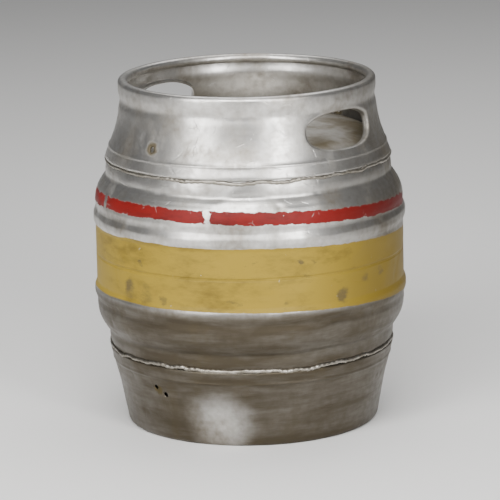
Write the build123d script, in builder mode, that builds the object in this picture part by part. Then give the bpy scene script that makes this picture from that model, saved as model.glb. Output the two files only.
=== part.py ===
"""A nine-gallon stainless steel beer keg with its screwed-in dispensing valve (spear).

Two deep-drawn shell halves are butt-welded at the middle. A rolled collar with hand holes is welded
round the top head and a rolled foot ring round the bottom head. A threaded neck in the top head
holds the spear: a body with a bayonet socket, a spring basket, a sprung gas valve that carries the
dip tube, and a sprung ball that closes the tube. Millimetres, +Z up, origin at the centre of the
ring the keg stands on. The hand holes face +X and -X.
"""

import math
import os

from build123d import *

os.makedirs("parts", exist_ok=True)

# ---------------------------------------------------------------- driving dimensions
keg_height = 457.0
belly_radius = 202.5
shell_wall = 2.0
chime_wall = 2.5

hoop_rise = 3.0
hoop_foot_half = 11.5
hoop_crest_half = 4.0
hoop_share = 0.72  # how far up from the seam to the shoulder each rolling hoop stands

shoulder_step = 15.0  # belly radius less waist radius
shoulder_slope = 37.0  # degrees from vertical
shoulder_round = 50.0
waist_round = 6.0
waist_land = 3.5

head_depth = 76.0  # rim to the corner of the head
head_round = 50.0
head_slope = 5.8  # degrees from horizontal, at the edge of the crown
crown_inset = 90.0  # waist radius less the radius where the crown flattens
crown_round = 400.0
crown_rise = 2.0

rim_inset = 34.0  # belly radius less rim radius
rim_curl_radius = 6.25
rim_straight = 50.0
flare_round = 150.0
collar_height = 103.0
skirt_gap = 0.4
skirt_land = 2.5
skirt_round = 4.0

foot_inset = 36.5  # belly radius less foot radius
foot_curl_radius = 7.0
foot_break_height = 55.0
foot_break_inset = 27.3
foot_round = 300.0
curl_sweep = 285.0
stand_flat = 0.3  # how much of each curl is flattened where kegs stand on each other

hand_hole_length = 113.0
hand_hole_height = 44.0
hand_hole_depth = 52.0  # rim to the centre of the hole
hand_lip_depth = 9.0
top_drain_radius = 4.0
top_drain_depth = 72.0
foot_drain_radius = 3.5
foot_drain_spots = ((0.0, 72.0), (4.6, 64.0))  # degrees round from -Y, height

seam_gap = 2.0
seam_crown = 0.5
seam_width = 5.0
chime_weld_leg = 4.0
chime_weld_crown = 0.6
neck_bead_radius = 1.9

sump_radius = 26.0
sump_depth = 6.0
sump_round = 7.0

spear_top_depth = 42.0  # rim to the top of the neck
thread_radius = 25.2  # middle of the thread
neck_wall = 6.8  # middle of the thread to the outside of the neck
neck_height = 33.0
thread_pitch = 1.8
thread_half_depth = 0.4
thread_turns = 11
thread_gap = 0.1
neck_seat_ledge = 3.4  # middle of the thread to the outside of the seat
neck_seat_depth = 7.0
snap_groove_depth = 1.2
snap_ring_width = 2.6
snap_ring_thickness = 1.2
snap_ring_opening = 34.0  # degrees
snap_ring_eye = 2.3
snap_ring_eye_hole = 0.9
neck_seal_thickness = 1.5

flange_thickness = 2.8
flange_chamfer = 0.5
barrel_wall = 2.1  # root of the thread to the chamber
barrel_length = 25.0
socket_lug = 1.6  # chamber radius less socket radius
socket_collar = 5.0
socket_undercut_step = 0.4  # undercut radius less chamber radius
socket_undercut = 6.0
socket_notch_angle = 40.0
socket_notches = 2
valve_seat_width = 7.1
valve_seat_thickness = 3.0

basket_wall = 1.2
basket_length = 52.0
basket_floor = 1.5
basket_window_angle = 44.0
basket_window_height = 22.0
basket_window_rise = 6.0
basket_windows = 4

seal_overlap = 3.5  # seal radius less valve seat radius
seal_thickness = 3.3
seal_lip_rise = 1.4
seal_lip_inset = 2.0  # valve seat radius less lip radius
carrier_flange_inset = 1.5  # seal radius less carrier flange radius
carrier_flange = 2.0
ball_radius = 7.2
ball_seat_width = 1.2  # ball radius less the radius of the hole it closes
ball_chamber_gap = 1.6  # chamber radius less ball radius
ball_chamber_depth = 22.0
carrier_wall = 1.4
carrier_floor = 1.6
tube_socket_depth = 12.0

tube_radius = 7.2
tube_wall = 1.0
tube_port_radius = 2.5
tube_port_rise = 6.0
tube_ports = 4
carrier_ledge = 1.2  # ball spring's coil radius less the radius of the hole under it
gas_travel = 7.0
ball_travel = 4.0
sump_clearance = 3.0
bush_wall = 2.3
bush_flange = 1.5
bush_flange_width = 2.0
bush_drop = 5.0

main_wire_radius = 0.9
main_coil_inset = 2.1  # carrier flange radius less coil radius
main_turns = 6
ball_wire_radius = 0.45
ball_coil_inset = 2.0  # ball radius less coil radius
ball_turns = 5

label_length = 92.0
label_width = 44.0
label_thickness = 0.3
label_inset = 69.5  # waist radius less the radius of the label's middle
label_turn = 6.0

slide_gap = 0.05  # radial clearance of the pieces that slide
seat_gap = 0.05  # clearance where one face rests on another
loose_gap = 0.15  # radial clearance of a plain seat

# ---------------------------------------------------------------- places worked out from them
mid_height = keg_height / 2
waist_radius = belly_radius - shoulder_step
rim_radius = belly_radius - rim_inset
foot_radius = belly_radius - foot_inset
crown_break = waist_radius - crown_inset
label_centre = waist_radius - label_inset  # towards the -X hand hole

head_corner_height = keg_height - head_depth
head_tangent = head_round * math.tan(math.radians(90 - head_slope) / 2)
head_arc_height = head_corner_height - head_tangent
head_arc_radius = waist_radius - head_round
waist_height = head_arc_height - waist_land
shoulder_height = waist_height - shoulder_step / math.tan(math.radians(shoulder_slope))
shoulder_end = shoulder_height - shoulder_round * math.tan(math.radians(shoulder_slope) / 2)
hoop_height = mid_height + hoop_share * (shoulder_end - mid_height)
crown_break_height = (
    head_corner_height + (waist_radius - crown_break) * math.tan(math.radians(head_slope))
)
crown_height = crown_break_height + crown_rise

skirt_height = keg_height - collar_height
flare_height = keg_height - rim_straight
hand_hole_z = keg_height - hand_hole_depth

neck_outer_radius = thread_radius + neck_wall
neck_seat_radius = thread_radius + neck_seat_ledge
chamber_radius = thread_radius - thread_half_depth - thread_gap - barrel_wall
socket_radius = chamber_radius - socket_lug
socket_undercut_radius = chamber_radius + socket_undercut_step
valve_seat_radius = chamber_radius - valve_seat_width
seal_radius = valve_seat_radius + seal_overlap
seal_lip_radius = valve_seat_radius - seal_lip_inset
carrier_flange_radius = seal_radius - carrier_flange_inset
main_coil_radius = carrier_flange_radius - main_coil_inset
ball_hole_radius = ball_radius - ball_seat_width
ball_chamber_radius = ball_radius + ball_chamber_gap
ball_coil_radius = ball_radius - ball_coil_inset
carrier_hole_radius = ball_coil_radius - carrier_ledge

neck_top = keg_height - spear_top_depth
neck_bottom = neck_top - neck_height
neck_seat = neck_top - neck_seat_depth
flange_bottom = neck_seat + neck_seal_thickness
flange_top = flange_bottom + flange_thickness
flange_radius = neck_seat_radius - loose_gap
socket_collar_bottom = flange_top - socket_collar
valve_seat_top = socket_collar_bottom - socket_undercut
valve_seat_bottom = valve_seat_top - valve_seat_thickness
barrel_bottom = flange_bottom - barrel_length
basket_radius = chamber_radius - slide_gap
basket_top = valve_seat_bottom - seat_gap
basket_bottom = basket_top - basket_length
basket_floor_top = basket_bottom + basket_floor

seal_top = valve_seat_bottom - seat_gap
seal_bottom = seal_top - seal_thickness
carrier_flange_bottom = seal_bottom - carrier_flange
ball_height = seal_bottom - math.sqrt(ball_radius**2 - ball_hole_radius**2) - seat_gap
chamber_floor = seal_bottom - ball_chamber_depth
tube_top = chamber_floor - carrier_floor
tube_socket_bottom = tube_top - tube_socket_depth
carrier_radius = ball_chamber_radius + carrier_wall
bush_radius = tube_radius + slide_gap + bush_wall
sump_floor = (keg_height - crown_height) - sump_depth + shell_wall
tube_bottom = sump_floor + gas_travel + sump_clearance
main_spring_low = basket_floor_top + seat_gap
main_spring_high = carrier_flange_bottom - seat_gap
ball_contact_drop = math.sqrt(
    (ball_radius + ball_wire_radius) ** 2 - ball_coil_radius**2
)
ball_spring_low = chamber_floor + seat_gap
ball_spring_high = ball_height - ball_contact_drop + ball_wire_radius - seat_gap


def body_outline():
    """Corners and rounds of one shell half from the seam to the edge of its crown."""
    hoop_radius = belly_radius + hoop_rise
    corners = [
        (belly_radius, mid_height + seam_gap / 2),
        (belly_radius, hoop_height - hoop_foot_half),
        (hoop_radius, hoop_height - hoop_crest_half),
        (hoop_radius, hoop_height + hoop_crest_half),
        (belly_radius, hoop_height + hoop_foot_half),
        (belly_radius, shoulder_height),
        (waist_radius, waist_height),
        (waist_radius, head_corner_height),
        (crown_break, crown_break_height),
    ]
    rounds = [5.0, 9.0, 9.0, 5.0, shoulder_round, waist_round, head_round, crown_round]
    return corners, rounds


def upside_down(corners):
    """The same corners for the lower half of the keg."""
    return [(radius, keg_height - height) for radius, height in corners]


def thread_corners(low, gap):
    """A zigzag of thread ridges up from low, moved outward by gap."""
    radii = (thread_radius + thread_half_depth + gap, thread_radius - thread_half_depth + gap)
    return [
        (radii[step % 2], low + step * thread_pitch / 2) for step in range(2 * thread_turns + 1)
    ]


def head_corner_radius(height):
    """Outer radius of the rounded corner of the top head at a height."""
    return head_arc_radius + math.sqrt(head_round**2 - (height - head_arc_height) ** 2)


def head_surface(radius):
    """Height of the sloping part of the top head at a radius."""
    return head_corner_height + (waist_radius - radius) * math.tan(math.radians(head_slope))


def wedge(radius, angle):
    """A sector of a circle about the X axis."""
    with BuildSketch(mode=Mode.PRIVATE) as sector:
        with BuildLine():
            arc = CenterArc((0, 0), radius, -angle / 2, angle)
            Line((0, 0), arc @ 0)
            Line(arc @ 1, (0, 0))
        make_face()
    return sector.sketch


def coil_spring(low, high, coil_radius, wire_radius, turns):
    """A round-wire compression spring that stands between two heights."""
    rise = high - low - 2 * wire_radius
    start = Plane.XY.offset(low + wire_radius)
    with BuildPart() as spring:
        with BuildLine(start):
            wire = Helix(pitch=rise / turns, height=rise, radius=coil_radius)
        with BuildSketch(Plane(origin=wire @ 0, z_dir=wire % 0)):
            Circle(wire_radius)
        sweep(path=wire, is_frenet=True)
    return spring


# ---------------------------------------------------------------- shell halves
with BuildPart() as upper_shell:
    with BuildSketch(Plane.XZ):
        with BuildLine():
            upper_corners, upper_rounds = body_outline()
            FilletPolyline(
                *upper_corners,
                (neck_outer_radius + loose_gap, crown_height),
                radius=upper_rounds,
            )
            offset(amount=shell_wall, side=Side.LEFT)
        make_face()
    revolve(axis=Axis.Z)
upper_shell.part.label = "upper_shell"

with BuildPart() as lower_shell:
    with BuildSketch(Plane.XZ):
        with BuildLine():
            lower_corners, lower_rounds = body_outline()
            crown_bottom = keg_height - crown_height
            FilletPolyline(
                *upside_down(lower_corners),
                (sump_radius + sump_depth, crown_bottom),
                (sump_radius, crown_bottom - sump_depth),
                (0, crown_bottom - sump_depth),
                radius=lower_rounds + [sump_round, sump_round],
            )
            offset(amount=shell_wall, side=Side.RIGHT)
        make_face()
    revolve(axis=Axis.Z)
lower_shell.part.label = "lower_shell"

# The butt weld fills the gap between the halves and stands a little proud outside.
with BuildPart() as girth_weld:
    with BuildSketch(Plane.XZ):
        with Locations((belly_radius - shell_wall / 2, mid_height)):
            Rectangle(shell_wall, seam_gap)
        with BuildLine():
            Polyline(
                (belly_radius, mid_height - seam_width / 2),
                (belly_radius + seam_crown, mid_height - seam_width / 4),
                (belly_radius + seam_crown, mid_height + seam_width / 4),
                (belly_radius, mid_height + seam_width / 2),
                close=True,
            )
        make_face()
    revolve(axis=Axis.Z)
girth_weld.part.label = "girth_weld"

# ---------------------------------------------------------------- top collar
skirt_radius = head_corner_radius(skirt_height) + skirt_gap + chime_wall
curl_height = keg_height + stand_flat - rim_curl_radius
half_wall = chime_wall / 2

with BuildPart() as hand_hole_lips:
    with BuildSketch(Plane.YZ):
        with Locations((0, hand_hole_z)):
            SlotOverall(hand_hole_length + 2 * chime_wall, hand_hole_height + 2 * chime_wall)
    extrude(amount=skirt_radius, both=True)
    with BuildSketch(Plane.XZ):
        with BuildLine():
            FilletPolyline(
                (skirt_radius - half_wall, skirt_height + skirt_land),
                (rim_radius - half_wall, flare_height),
                (rim_radius - half_wall, curl_height),
                radius=flare_round,
            )
            offset(amount=hand_lip_depth - half_wall, side=Side.LEFT)
        make_face()
    revolve(axis=Axis.Z, mode=Mode.INTERSECT)

with BuildPart() as top_chime:
    with BuildSketch(Plane.XZ):
        with BuildLine():
            FilletPolyline(
                (skirt_radius - half_wall, skirt_height),
                (skirt_radius - half_wall, skirt_height + skirt_land),
                (rim_radius - half_wall, flare_height),
                (rim_radius - half_wall, curl_height),
                radius=[skirt_round, flare_round],
            )
            rim_curl_centre = (rim_radius - rim_curl_radius, curl_height)
            CenterArc(rim_curl_centre, rim_curl_radius - half_wall, 0, curl_sweep)
        trace(line_width=chime_wall)
    revolve(axis=Axis.Z)
    add(hand_hole_lips.part)
    with BuildSketch(Plane.YZ):
        with Locations((0, hand_hole_z)):
            SlotOverall(hand_hole_length, hand_hole_height)
    extrude(amount=2 * skirt_radius, both=True, mode=Mode.SUBTRACT)
    with BuildSketch(Plane.XZ):
        with Locations((0, keg_height - top_drain_depth)):
            Circle(top_drain_radius)
    extrude(amount=2 * skirt_radius, both=True, mode=Mode.SUBTRACT)
    split(bisect_by=Plane.XY.offset(keg_height), keep=Keep.BOTTOM)
top_chime.part.label = "top_chime"

weld_outer = (skirt_radius, skirt_height)
weld_inner = (head_corner_radius(skirt_height), skirt_height)
weld_middle_height = skirt_height - chime_weld_leg / 2
weld_middle = (head_corner_radius(weld_middle_height), weld_middle_height)
weld_low_height = skirt_height - chime_weld_leg
weld_low = (head_corner_radius(weld_low_height), weld_low_height)
weld_bulge = (skirt_radius + chime_weld_crown, weld_middle_height)

with BuildPart() as top_chime_weld:
    with BuildSketch(Plane.XZ):
        with BuildLine():
            ThreePointArc(weld_low, weld_middle, weld_inner)
            Polyline(weld_inner, weld_outer, weld_bulge, weld_low)
        make_face()
    revolve(axis=Axis.Z)
top_chime_weld.part.label = "top_chime_weld"

# ---------------------------------------------------------------- foot ring
foot_curl_height = foot_curl_radius - stand_flat

with BuildPart() as bottom_chime:
    with BuildSketch(Plane.XZ):
        with BuildLine():
            FilletPolyline(
                (skirt_radius - half_wall, keg_height - skirt_height),
                (skirt_radius - half_wall, keg_height - skirt_height - skirt_land),
                (belly_radius - foot_break_inset - half_wall, foot_break_height),
                (foot_radius - half_wall, foot_curl_height),
                radius=[skirt_round, foot_round],
            )
            foot_curl_centre = (foot_radius - foot_curl_radius, foot_curl_height)
            CenterArc(foot_curl_centre, foot_curl_radius - half_wall, 0, -curl_sweep)
        trace(line_width=chime_wall)
    revolve(axis=Axis.Z)
    for turn, height in foot_drain_spots:
        with BuildSketch(Plane.XZ.rotated((0, 0, turn))):
            with Locations((0, height)):
                Circle(foot_drain_radius)
        extrude(amount=2 * skirt_radius, both=True, mode=Mode.SUBTRACT)
    split(bisect_by=Plane.XY, keep=Keep.TOP)
bottom_chime.part.label = "bottom_chime"

with BuildPart() as bottom_chime_weld:
    add(mirror(top_chime_weld.part, about=Plane.XY.offset(mid_height)))
bottom_chime_weld.part.label = "bottom_chime_weld"

# ---------------------------------------------------------------- neck
groove_bottom = flange_top + seat_gap
groove_top = groove_bottom + snap_ring_thickness + 2 * seat_gap
groove_radius = neck_seat_radius + snap_groove_depth
snap_outer_radius = groove_radius - loose_gap
snap_inner_radius = snap_outer_radius - snap_ring_width
thread_low = neck_seat - thread_turns * thread_pitch

with BuildPart() as neck:
    with BuildSketch(Plane.XZ):
        with BuildLine():
            Polyline(
                *thread_corners(thread_low, 0),
                (neck_seat_radius, neck_seat),
                (neck_seat_radius, groove_bottom - seat_gap),
                (groove_radius, groove_bottom - seat_gap),
                (groove_radius, groove_top - seat_gap),
                (neck_seat_radius, groove_top - seat_gap),
                (neck_seat_radius, neck_top),
                (neck_outer_radius, neck_top),
                (neck_outer_radius, neck_bottom),
                (thread_radius + thread_half_depth, neck_bottom),
                close=True,
            )
        make_face()
    revolve(axis=Axis.Z)
    rim_edges = neck.edges().filter_by(GeomType.CIRCLE)
    outer_edges = rim_edges.filter_by(lambda edge: abs(edge.radius - neck_outer_radius) < 0.01)
    chamfer(outer_edges, 0.8)
neck.part.label = "neck"

with BuildPart() as neck_weld:
    with BuildSketch(Plane.XZ):
        with Locations((neck_outer_radius, crown_height)):
            Circle(neck_bead_radius)
    revolve(axis=Axis.Z)
    add(upper_shell.part, mode=Mode.SUBTRACT)
    add(neck.part, mode=Mode.SUBTRACT)
neck_weld.part.label = "neck_weld"

with BuildPart() as neck_seal:
    with BuildSketch(Plane.XY.offset(neck_seat)):
        Circle(flange_radius)
        Circle(thread_radius + thread_half_depth + loose_gap, mode=Mode.SUBTRACT)
    extrude(amount=neck_seal_thickness)
neck_seal.part.label = "neck_seal"

with BuildPart() as snap_ring:
    with BuildSketch(Plane.XY.offset(groove_bottom)):
        Circle(snap_outer_radius)
        Circle(snap_inner_radius, mode=Mode.SUBTRACT)
        add(wedge(groove_radius, snap_ring_opening), mode=Mode.SUBTRACT)
        eye_turn = snap_ring_opening + math.degrees(2 * snap_ring_eye / snap_inner_radius)
        with PolarLocations(snap_inner_radius, 2, -eye_turn / 2, 2 * eye_turn):
            Circle(snap_ring_eye)
            Circle(snap_ring_eye_hole, mode=Mode.SUBTRACT)
    extrude(amount=snap_ring_thickness)
snap_ring.part.label = "snap_ring"

# ---------------------------------------------------------------- spear body and basket
with BuildPart() as spear_body:
    with BuildSketch(Plane.XZ):
        with BuildLine():
            Polyline(
                *thread_corners(thread_low, -thread_gap),
                (thread_radius - thread_half_depth - thread_gap, flange_bottom),
                (flange_radius, flange_bottom),
                (flange_radius, flange_top - flange_chamfer),
                (flange_radius - flange_chamfer, flange_top),
                (socket_radius + flange_chamfer, flange_top),
                (socket_radius, flange_top - flange_chamfer),
                (socket_radius, socket_collar_bottom),
                (socket_undercut_radius, socket_collar_bottom),
                (socket_undercut_radius, valve_seat_top),
                (valve_seat_radius, valve_seat_top),
                (valve_seat_radius, valve_seat_bottom),
                (chamber_radius, valve_seat_bottom),
                (chamber_radius, barrel_bottom),
                (thread_radius - thread_half_depth - thread_gap, barrel_bottom),
                close=True,
            )
        make_face()
    revolve(axis=Axis.Z)
    with BuildSketch(Plane.XY.offset(flange_top)):
        with PolarLocations(0, socket_notches, 90):
            add(wedge(socket_undercut_radius, socket_notch_angle))
    extrude(amount=-socket_collar, mode=Mode.SUBTRACT)
spear_body.part.label = "spear_body"

with BuildPart() as spring_basket:
    with BuildSketch(Plane.XY.offset(basket_bottom)):
        Circle(basket_radius)
        Circle(bush_radius + seat_gap, mode=Mode.SUBTRACT)
    extrude(amount=basket_floor)
    with BuildSketch(Plane.XY.offset(basket_bottom)):
        Circle(basket_radius)
        Circle(basket_radius - basket_wall, mode=Mode.SUBTRACT)
    extrude(amount=basket_length)
    with BuildSketch(Plane.XY.offset(basket_floor_top + basket_window_rise)):
        with PolarLocations(0, basket_windows):
            add(wedge(basket_radius + basket_wall, basket_window_angle))
    extrude(amount=basket_window_height, mode=Mode.SUBTRACT)
spring_basket.part.label = "spring_basket"

with BuildPart() as tube_bush:
    with BuildSketch(Plane.XY.offset(basket_bottom - bush_drop)):
        Circle(bush_radius)
    extrude(amount=bush_drop + basket_floor)
    with BuildSketch(Plane.XY.offset(basket_floor_top)):
        Circle(bush_radius + bush_flange_width)
    extrude(amount=bush_flange)
    with BuildSketch(Plane.XY.offset(basket_bottom - bush_drop)):
        Circle(tube_radius + slide_gap)
    extrude(amount=bush_drop + basket_floor + bush_flange, mode=Mode.SUBTRACT)
    chamfer(tube_bush.edges().group_by(Axis.Z)[0], 0.5)
tube_bush.part.label = "tube_bush"

# ---------------------------------------------------------------- gas valve and dip tube
with BuildPart() as valve_seal:
    with BuildSketch(Plane.XZ):
        with BuildLine():
            Polyline(
                (ball_hole_radius, seal_bottom),
                (seal_radius, seal_bottom),
                (seal_radius, seal_top),
                (seal_lip_radius, seal_top),
                (seal_lip_radius - seal_lip_rise, seal_top + seal_lip_rise),
                (ball_hole_radius + seal_lip_rise, seal_top + seal_lip_rise),
                (ball_hole_radius, seal_top),
                close=True,
            )
        make_face()
    revolve(axis=Axis.Z)
valve_seal.part.label = "valve_seal"

with BuildPart() as valve_carrier:
    with BuildSketch(Plane.XZ):
        with BuildLine():
            Polyline(
                (ball_chamber_radius, seal_bottom),
                (carrier_flange_radius, seal_bottom),
                (carrier_flange_radius, carrier_flange_bottom),
                (carrier_radius, carrier_flange_bottom),
                (carrier_radius, tube_socket_bottom),
                (tube_radius + slide_gap, tube_socket_bottom),
                (tube_radius + slide_gap, tube_top),
                (carrier_hole_radius, tube_top),
                (carrier_hole_radius, chamber_floor),
                (ball_chamber_radius, chamber_floor),
                close=True,
            )
        make_face()
    revolve(axis=Axis.Z)
    fillet(
        valve_carrier.edges().filter_by(
            lambda edge: abs(edge.center().Z - carrier_flange_bottom) < 0.01
            and abs(edge.radius - carrier_radius) < 0.01
        ),
        0.8,
    )
valve_carrier.part.label = "valve_carrier"

with BuildPart() as dip_tube:
    with BuildSketch(Plane.XY.offset(tube_bottom)):
        Circle(tube_radius)
        Circle(tube_radius - tube_wall, mode=Mode.SUBTRACT)
    extrude(amount=tube_top - tube_bottom)
    with BuildSketch(Plane.XY.offset(tube_bottom)):
        with PolarLocations(0, tube_ports):
            SlotCenterToCenter(4 * tube_radius, 2 * tube_port_radius)
    extrude(amount=tube_port_rise, mode=Mode.SUBTRACT)
dip_tube.part.label = "dip_tube"

with BuildPart() as ball:
    with Locations((0, 0, ball_height)):
        Sphere(ball_radius)
ball.part.label = "ball"

main_spring = coil_spring(
    main_spring_low, main_spring_high, main_coil_radius, main_wire_radius, main_turns
)
main_spring.part.label = "main_spring"

ball_spring = coil_spring(
    ball_spring_low, ball_spring_high, ball_coil_radius, ball_wire_radius, ball_turns
)
ball_spring.part.label = "ball_spring"

# ---------------------------------------------------------------- what is left of a paper label
label_inner = label_centre - label_width / 2
label_outer = label_centre + label_width / 2
label_angle = math.degrees(label_length / label_centre)

with BuildPart() as label:
    with BuildSketch(Plane.XZ):
        with BuildLine():
            low_edge = (label_outer, head_surface(label_outer))
            high_edge = (label_inner, head_surface(label_inner))
            Polyline(
                low_edge,
                high_edge,
                (label_inner, high_edge[1] + label_thickness),
                (label_outer, low_edge[1] + label_thickness),
                close=True,
            )
        make_face()
    revolve(axis=Axis.Z, revolution_arc=label_angle)
label.part = label.part.rotate(Axis.Z, 180 - label_angle / 2 + label_turn)
label.part.label = "label"

pieces = (
    upper_shell,
    lower_shell,
    girth_weld,
    top_chime,
    bottom_chime,
    top_chime_weld,
    bottom_chime_weld,
    neck,
    neck_weld,
    neck_seal,
    snap_ring,
    spear_body,
    spring_basket,
    tube_bush,
    main_spring,
    valve_seal,
    valve_carrier,
    dip_tube,
    ball,
    ball_spring,
    label,
)
for piece in pieces:
    export_step(piece.part, f"parts/{piece.part.label}.step")
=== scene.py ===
"""Dresses a steel beer keg: knocked-about shells, a rolled collar with hand holes, welds and valve.

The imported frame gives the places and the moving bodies. The shells, collar, foot ring, welds and
label are rebuilt here with their wear; the turned valve parts keep their own meshes and get
materials. Lengths in the classes are millimetres, and meshes are in metres.
"""

from __future__ import annotations

import logging
import math
from collections.abc import Sequence
from dataclasses import dataclass, field
from enum import Enum

import bmesh
import bpy
from mathutils import Matrix, Vector, geometry, noise

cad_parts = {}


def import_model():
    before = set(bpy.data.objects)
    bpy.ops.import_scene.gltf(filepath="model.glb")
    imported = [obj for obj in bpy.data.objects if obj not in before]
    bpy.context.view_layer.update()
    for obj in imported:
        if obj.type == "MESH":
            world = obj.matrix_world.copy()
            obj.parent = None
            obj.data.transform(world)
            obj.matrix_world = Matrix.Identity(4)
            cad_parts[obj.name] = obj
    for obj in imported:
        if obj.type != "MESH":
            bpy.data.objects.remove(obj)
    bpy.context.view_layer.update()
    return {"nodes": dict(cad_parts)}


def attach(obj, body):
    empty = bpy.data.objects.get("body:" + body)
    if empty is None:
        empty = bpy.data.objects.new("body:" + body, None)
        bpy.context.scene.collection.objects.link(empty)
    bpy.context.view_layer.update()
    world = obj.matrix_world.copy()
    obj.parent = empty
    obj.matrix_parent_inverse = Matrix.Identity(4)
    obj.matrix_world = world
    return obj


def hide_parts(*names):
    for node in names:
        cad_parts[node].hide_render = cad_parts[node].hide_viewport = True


LOG = logging.getLogger("keg")
MM = 0.001
KEG_BODY = "keg"

Point = tuple[float, float]
Spot = tuple[float, float, float, float]
Tree = bpy.types.NodeTree
Socket = bpy.types.NodeSocket
Finish = bpy.types.Material


class Side(Enum):
    """Which skin of a sheet is meant."""

    OUTER = 0
    INNER = 1


# ---------------------------------------------------------------- small tools
def linear(colour: str) -> tuple[float, float, float, float]:
    """Turns an sRGB hex colour into linear red, green, blue and alpha.

    Args:
        colour: Six hex digits after a hash.

    Returns:
        The linear colour, with full alpha.
    """
    parts = [int(colour[start:start + 2], 16) / 255 for start in (1, 3, 5)]
    toe, slope, lift, power = 0.04045, 12.92, 0.055, 2.4
    red, green, blue = (
        part / slope if part <= toe else ((part + lift) / (1 + lift)) ** power for part in parts
    )
    return (red, green, blue, 1.0)


def add_node(
    tree: Tree, kind: str, settings: dict | None = None, inputs: dict | None = None
) -> bpy.types.Node:
    """Adds a node with its settings and feeds its inputs.

    Args:
        tree: The node tree to add to.
        kind: The node's type name.
        settings: Attribute values to set on the node.
        inputs: Input name or number to a value, or to the output socket that feeds it.

    Returns:
        The new node.
    """
    node = tree.nodes.new(kind)
    for name, value in (settings or {}).items():
        setattr(node, name, value)
    for name, value in (inputs or {}).items():
        if isinstance(value, bpy.types.NodeSocket):
            tree.links.new(value, node.inputs[name])
        else:
            node.inputs[name].default_value = value
    return node


def cycles(*sizes: float) -> tuple[float, ...]:
    """Pattern scales, in cycles to the metre, for feature sizes in millimetres."""
    return tuple(1 / (size * MM) for size in sizes)


def rounded_path(corners: Sequence[Point], radii: Sequence[float], step: float) -> list[Point]:
    """Samples a path of straight runs joined by tangent arcs.

    Args:
        corners: The path's corners, its two ends included.
        radii: One radius for each inner corner.
        step: The largest distance between samples.

    Returns:
        Points along the path, ends included.
    """
    points = [Vector(corners[0])]
    for before, corner, after, radius in zip(corners, corners[1:], corners[2:], radii):
        corner_point = Vector(corner)
        back = (Vector(before) - corner_point).normalized()
        ahead = (Vector(after) - corner_point).normalized()
        half = back.angle(ahead) / 2
        reach = radius / math.tan(half)
        centre = corner_point + (back + ahead).normalized() * (radius / math.sin(half))
        first = corner_point + back * reach
        last = corner_point + ahead * reach
        _add_run(points, first, step)
        turn = math.pi - 2 * half
        count = max(2, math.ceil(radius * turn / step))
        spoke = first - centre
        side = 1 if (first - centre).cross(last - centre) > 0 else -1
        for index in range(1, count + 1):
            angle = side * turn * index / count
            spun = Matrix.Rotation(angle, 2) @ spoke
            points.append(centre + spun)
    _add_run(points, Vector(corners[-1]), step)
    return [(point.x, point.y) for point in points]


def _add_run(points: list[Vector], end: Vector, step: float) -> None:
    """Extends a list of points by a straight run in equal steps.

    Args:
        points: The points so far, changed in place.
        end: Where the run ends.
        step: The largest distance between points.
    """
    start = points[-1]
    length = (end - start).length
    if length < 1e-6:
        return
    count = max(1, math.ceil(length / step))
    points.extend(start.lerp(end, index / count) for index in range(1, count + 1))


def path_normals(path: Sequence[Point]) -> list[Vector]:
    """The unit vector to the right of the path's direction at each point.

    Args:
        path: Two or more points.

    Returns:
        One vector for each point.
    """
    normals = []
    for index in range(len(path)):
        before = Vector(path[max(index - 1, 0)])
        after = Vector(path[min(index + 1, len(path) - 1)])
        along = (after - before).normalized()
        normals.append(Vector((along.y, -along.x)))
    return normals


def outward_normals(path: Sequence[Point]) -> list[Vector]:
    """The unit vectors square to the path that point away from the keg's axis."""
    return [normal if normal.x > 0 else -normal for normal in path_normals(path)]


def offset_path(path: Sequence[Point], amount: float) -> list[Point]:
    """The same path moved to its right by an amount.

    Args:
        path: Two or more points.
        amount: How far to move it, to the left if negative.

    Returns:
        As many points as the path has.
    """
    return [
        (x + normal.x * amount, y + normal.y * amount)
        for (x, y), normal in zip(path, path_normals(path))
    ]


def finish_object(name: str, mesh: bpy.types.Mesh, material: Finish) -> bpy.types.Object:
    """Links a mesh as a smooth-shaded object with one material.

    Args:
        name: The object's name.
        mesh: Its mesh, in metres in the keg's frame.
        material: Its finish.

    Returns:
        The linked object.
    """
    mesh.materials.clear()
    mesh.materials.append(material)
    mesh.shade_smooth()
    piece = bpy.data.objects.new(name, mesh)
    bpy.context.collection.objects.link(piece)
    return piece


def settle(piece: bpy.types.Object) -> None:
    """Turns a piece with modifiers into a plain mesh, in place.

    Args:
        piece: The piece.
    """
    graph = bpy.context.evaluated_depsgraph_get()
    baked = bpy.data.meshes.new_from_object(piece.evaluated_get(graph), depsgraph=graph)
    piece.modifiers.clear()
    piece.data = baked
    baked.shade_smooth()


def run_tree(piece: bpy.types.Object, tree: Tree, values: dict) -> None:
    """Adds a geometry tree to a piece as a modifier and sets its named inputs.

    Args:
        piece: The object that gets the modifier.
        tree: The geometry node tree.
        values: Input name to value.
    """
    modifier = piece.modifiers.new(tree.name, "NODES")
    modifier.node_group = tree
    for item in tree.interface.items_tree:
        if item.item_type == "SOCKET" and item.in_out == "INPUT" and item.name in values:
            modifier[item.identifier] = values[item.name]


def new_geometry_tree(name: str, sockets: dict[str, str]) -> tuple:
    """Starts a geometry node tree with a geometry input and output and named inputs.

    Args:
        name: The tree's name.
        sockets: Input name to socket type.

    Returns:
        The tree, its group input node and its group output node.
    """
    tree = bpy.data.node_groups.new(name, "GeometryNodeTree")
    tree.interface.new_socket("Geometry", in_out="INPUT", socket_type="NodeSocketGeometry")
    tree.interface.new_socket("Geometry", in_out="OUTPUT", socket_type="NodeSocketGeometry")
    for label, kind in sockets.items():
        tree.interface.new_socket(label, in_out="INPUT", socket_type=kind)
    return tree, add_node(tree, "NodeGroupInput"), add_node(tree, "NodeGroupOutput")


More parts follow.
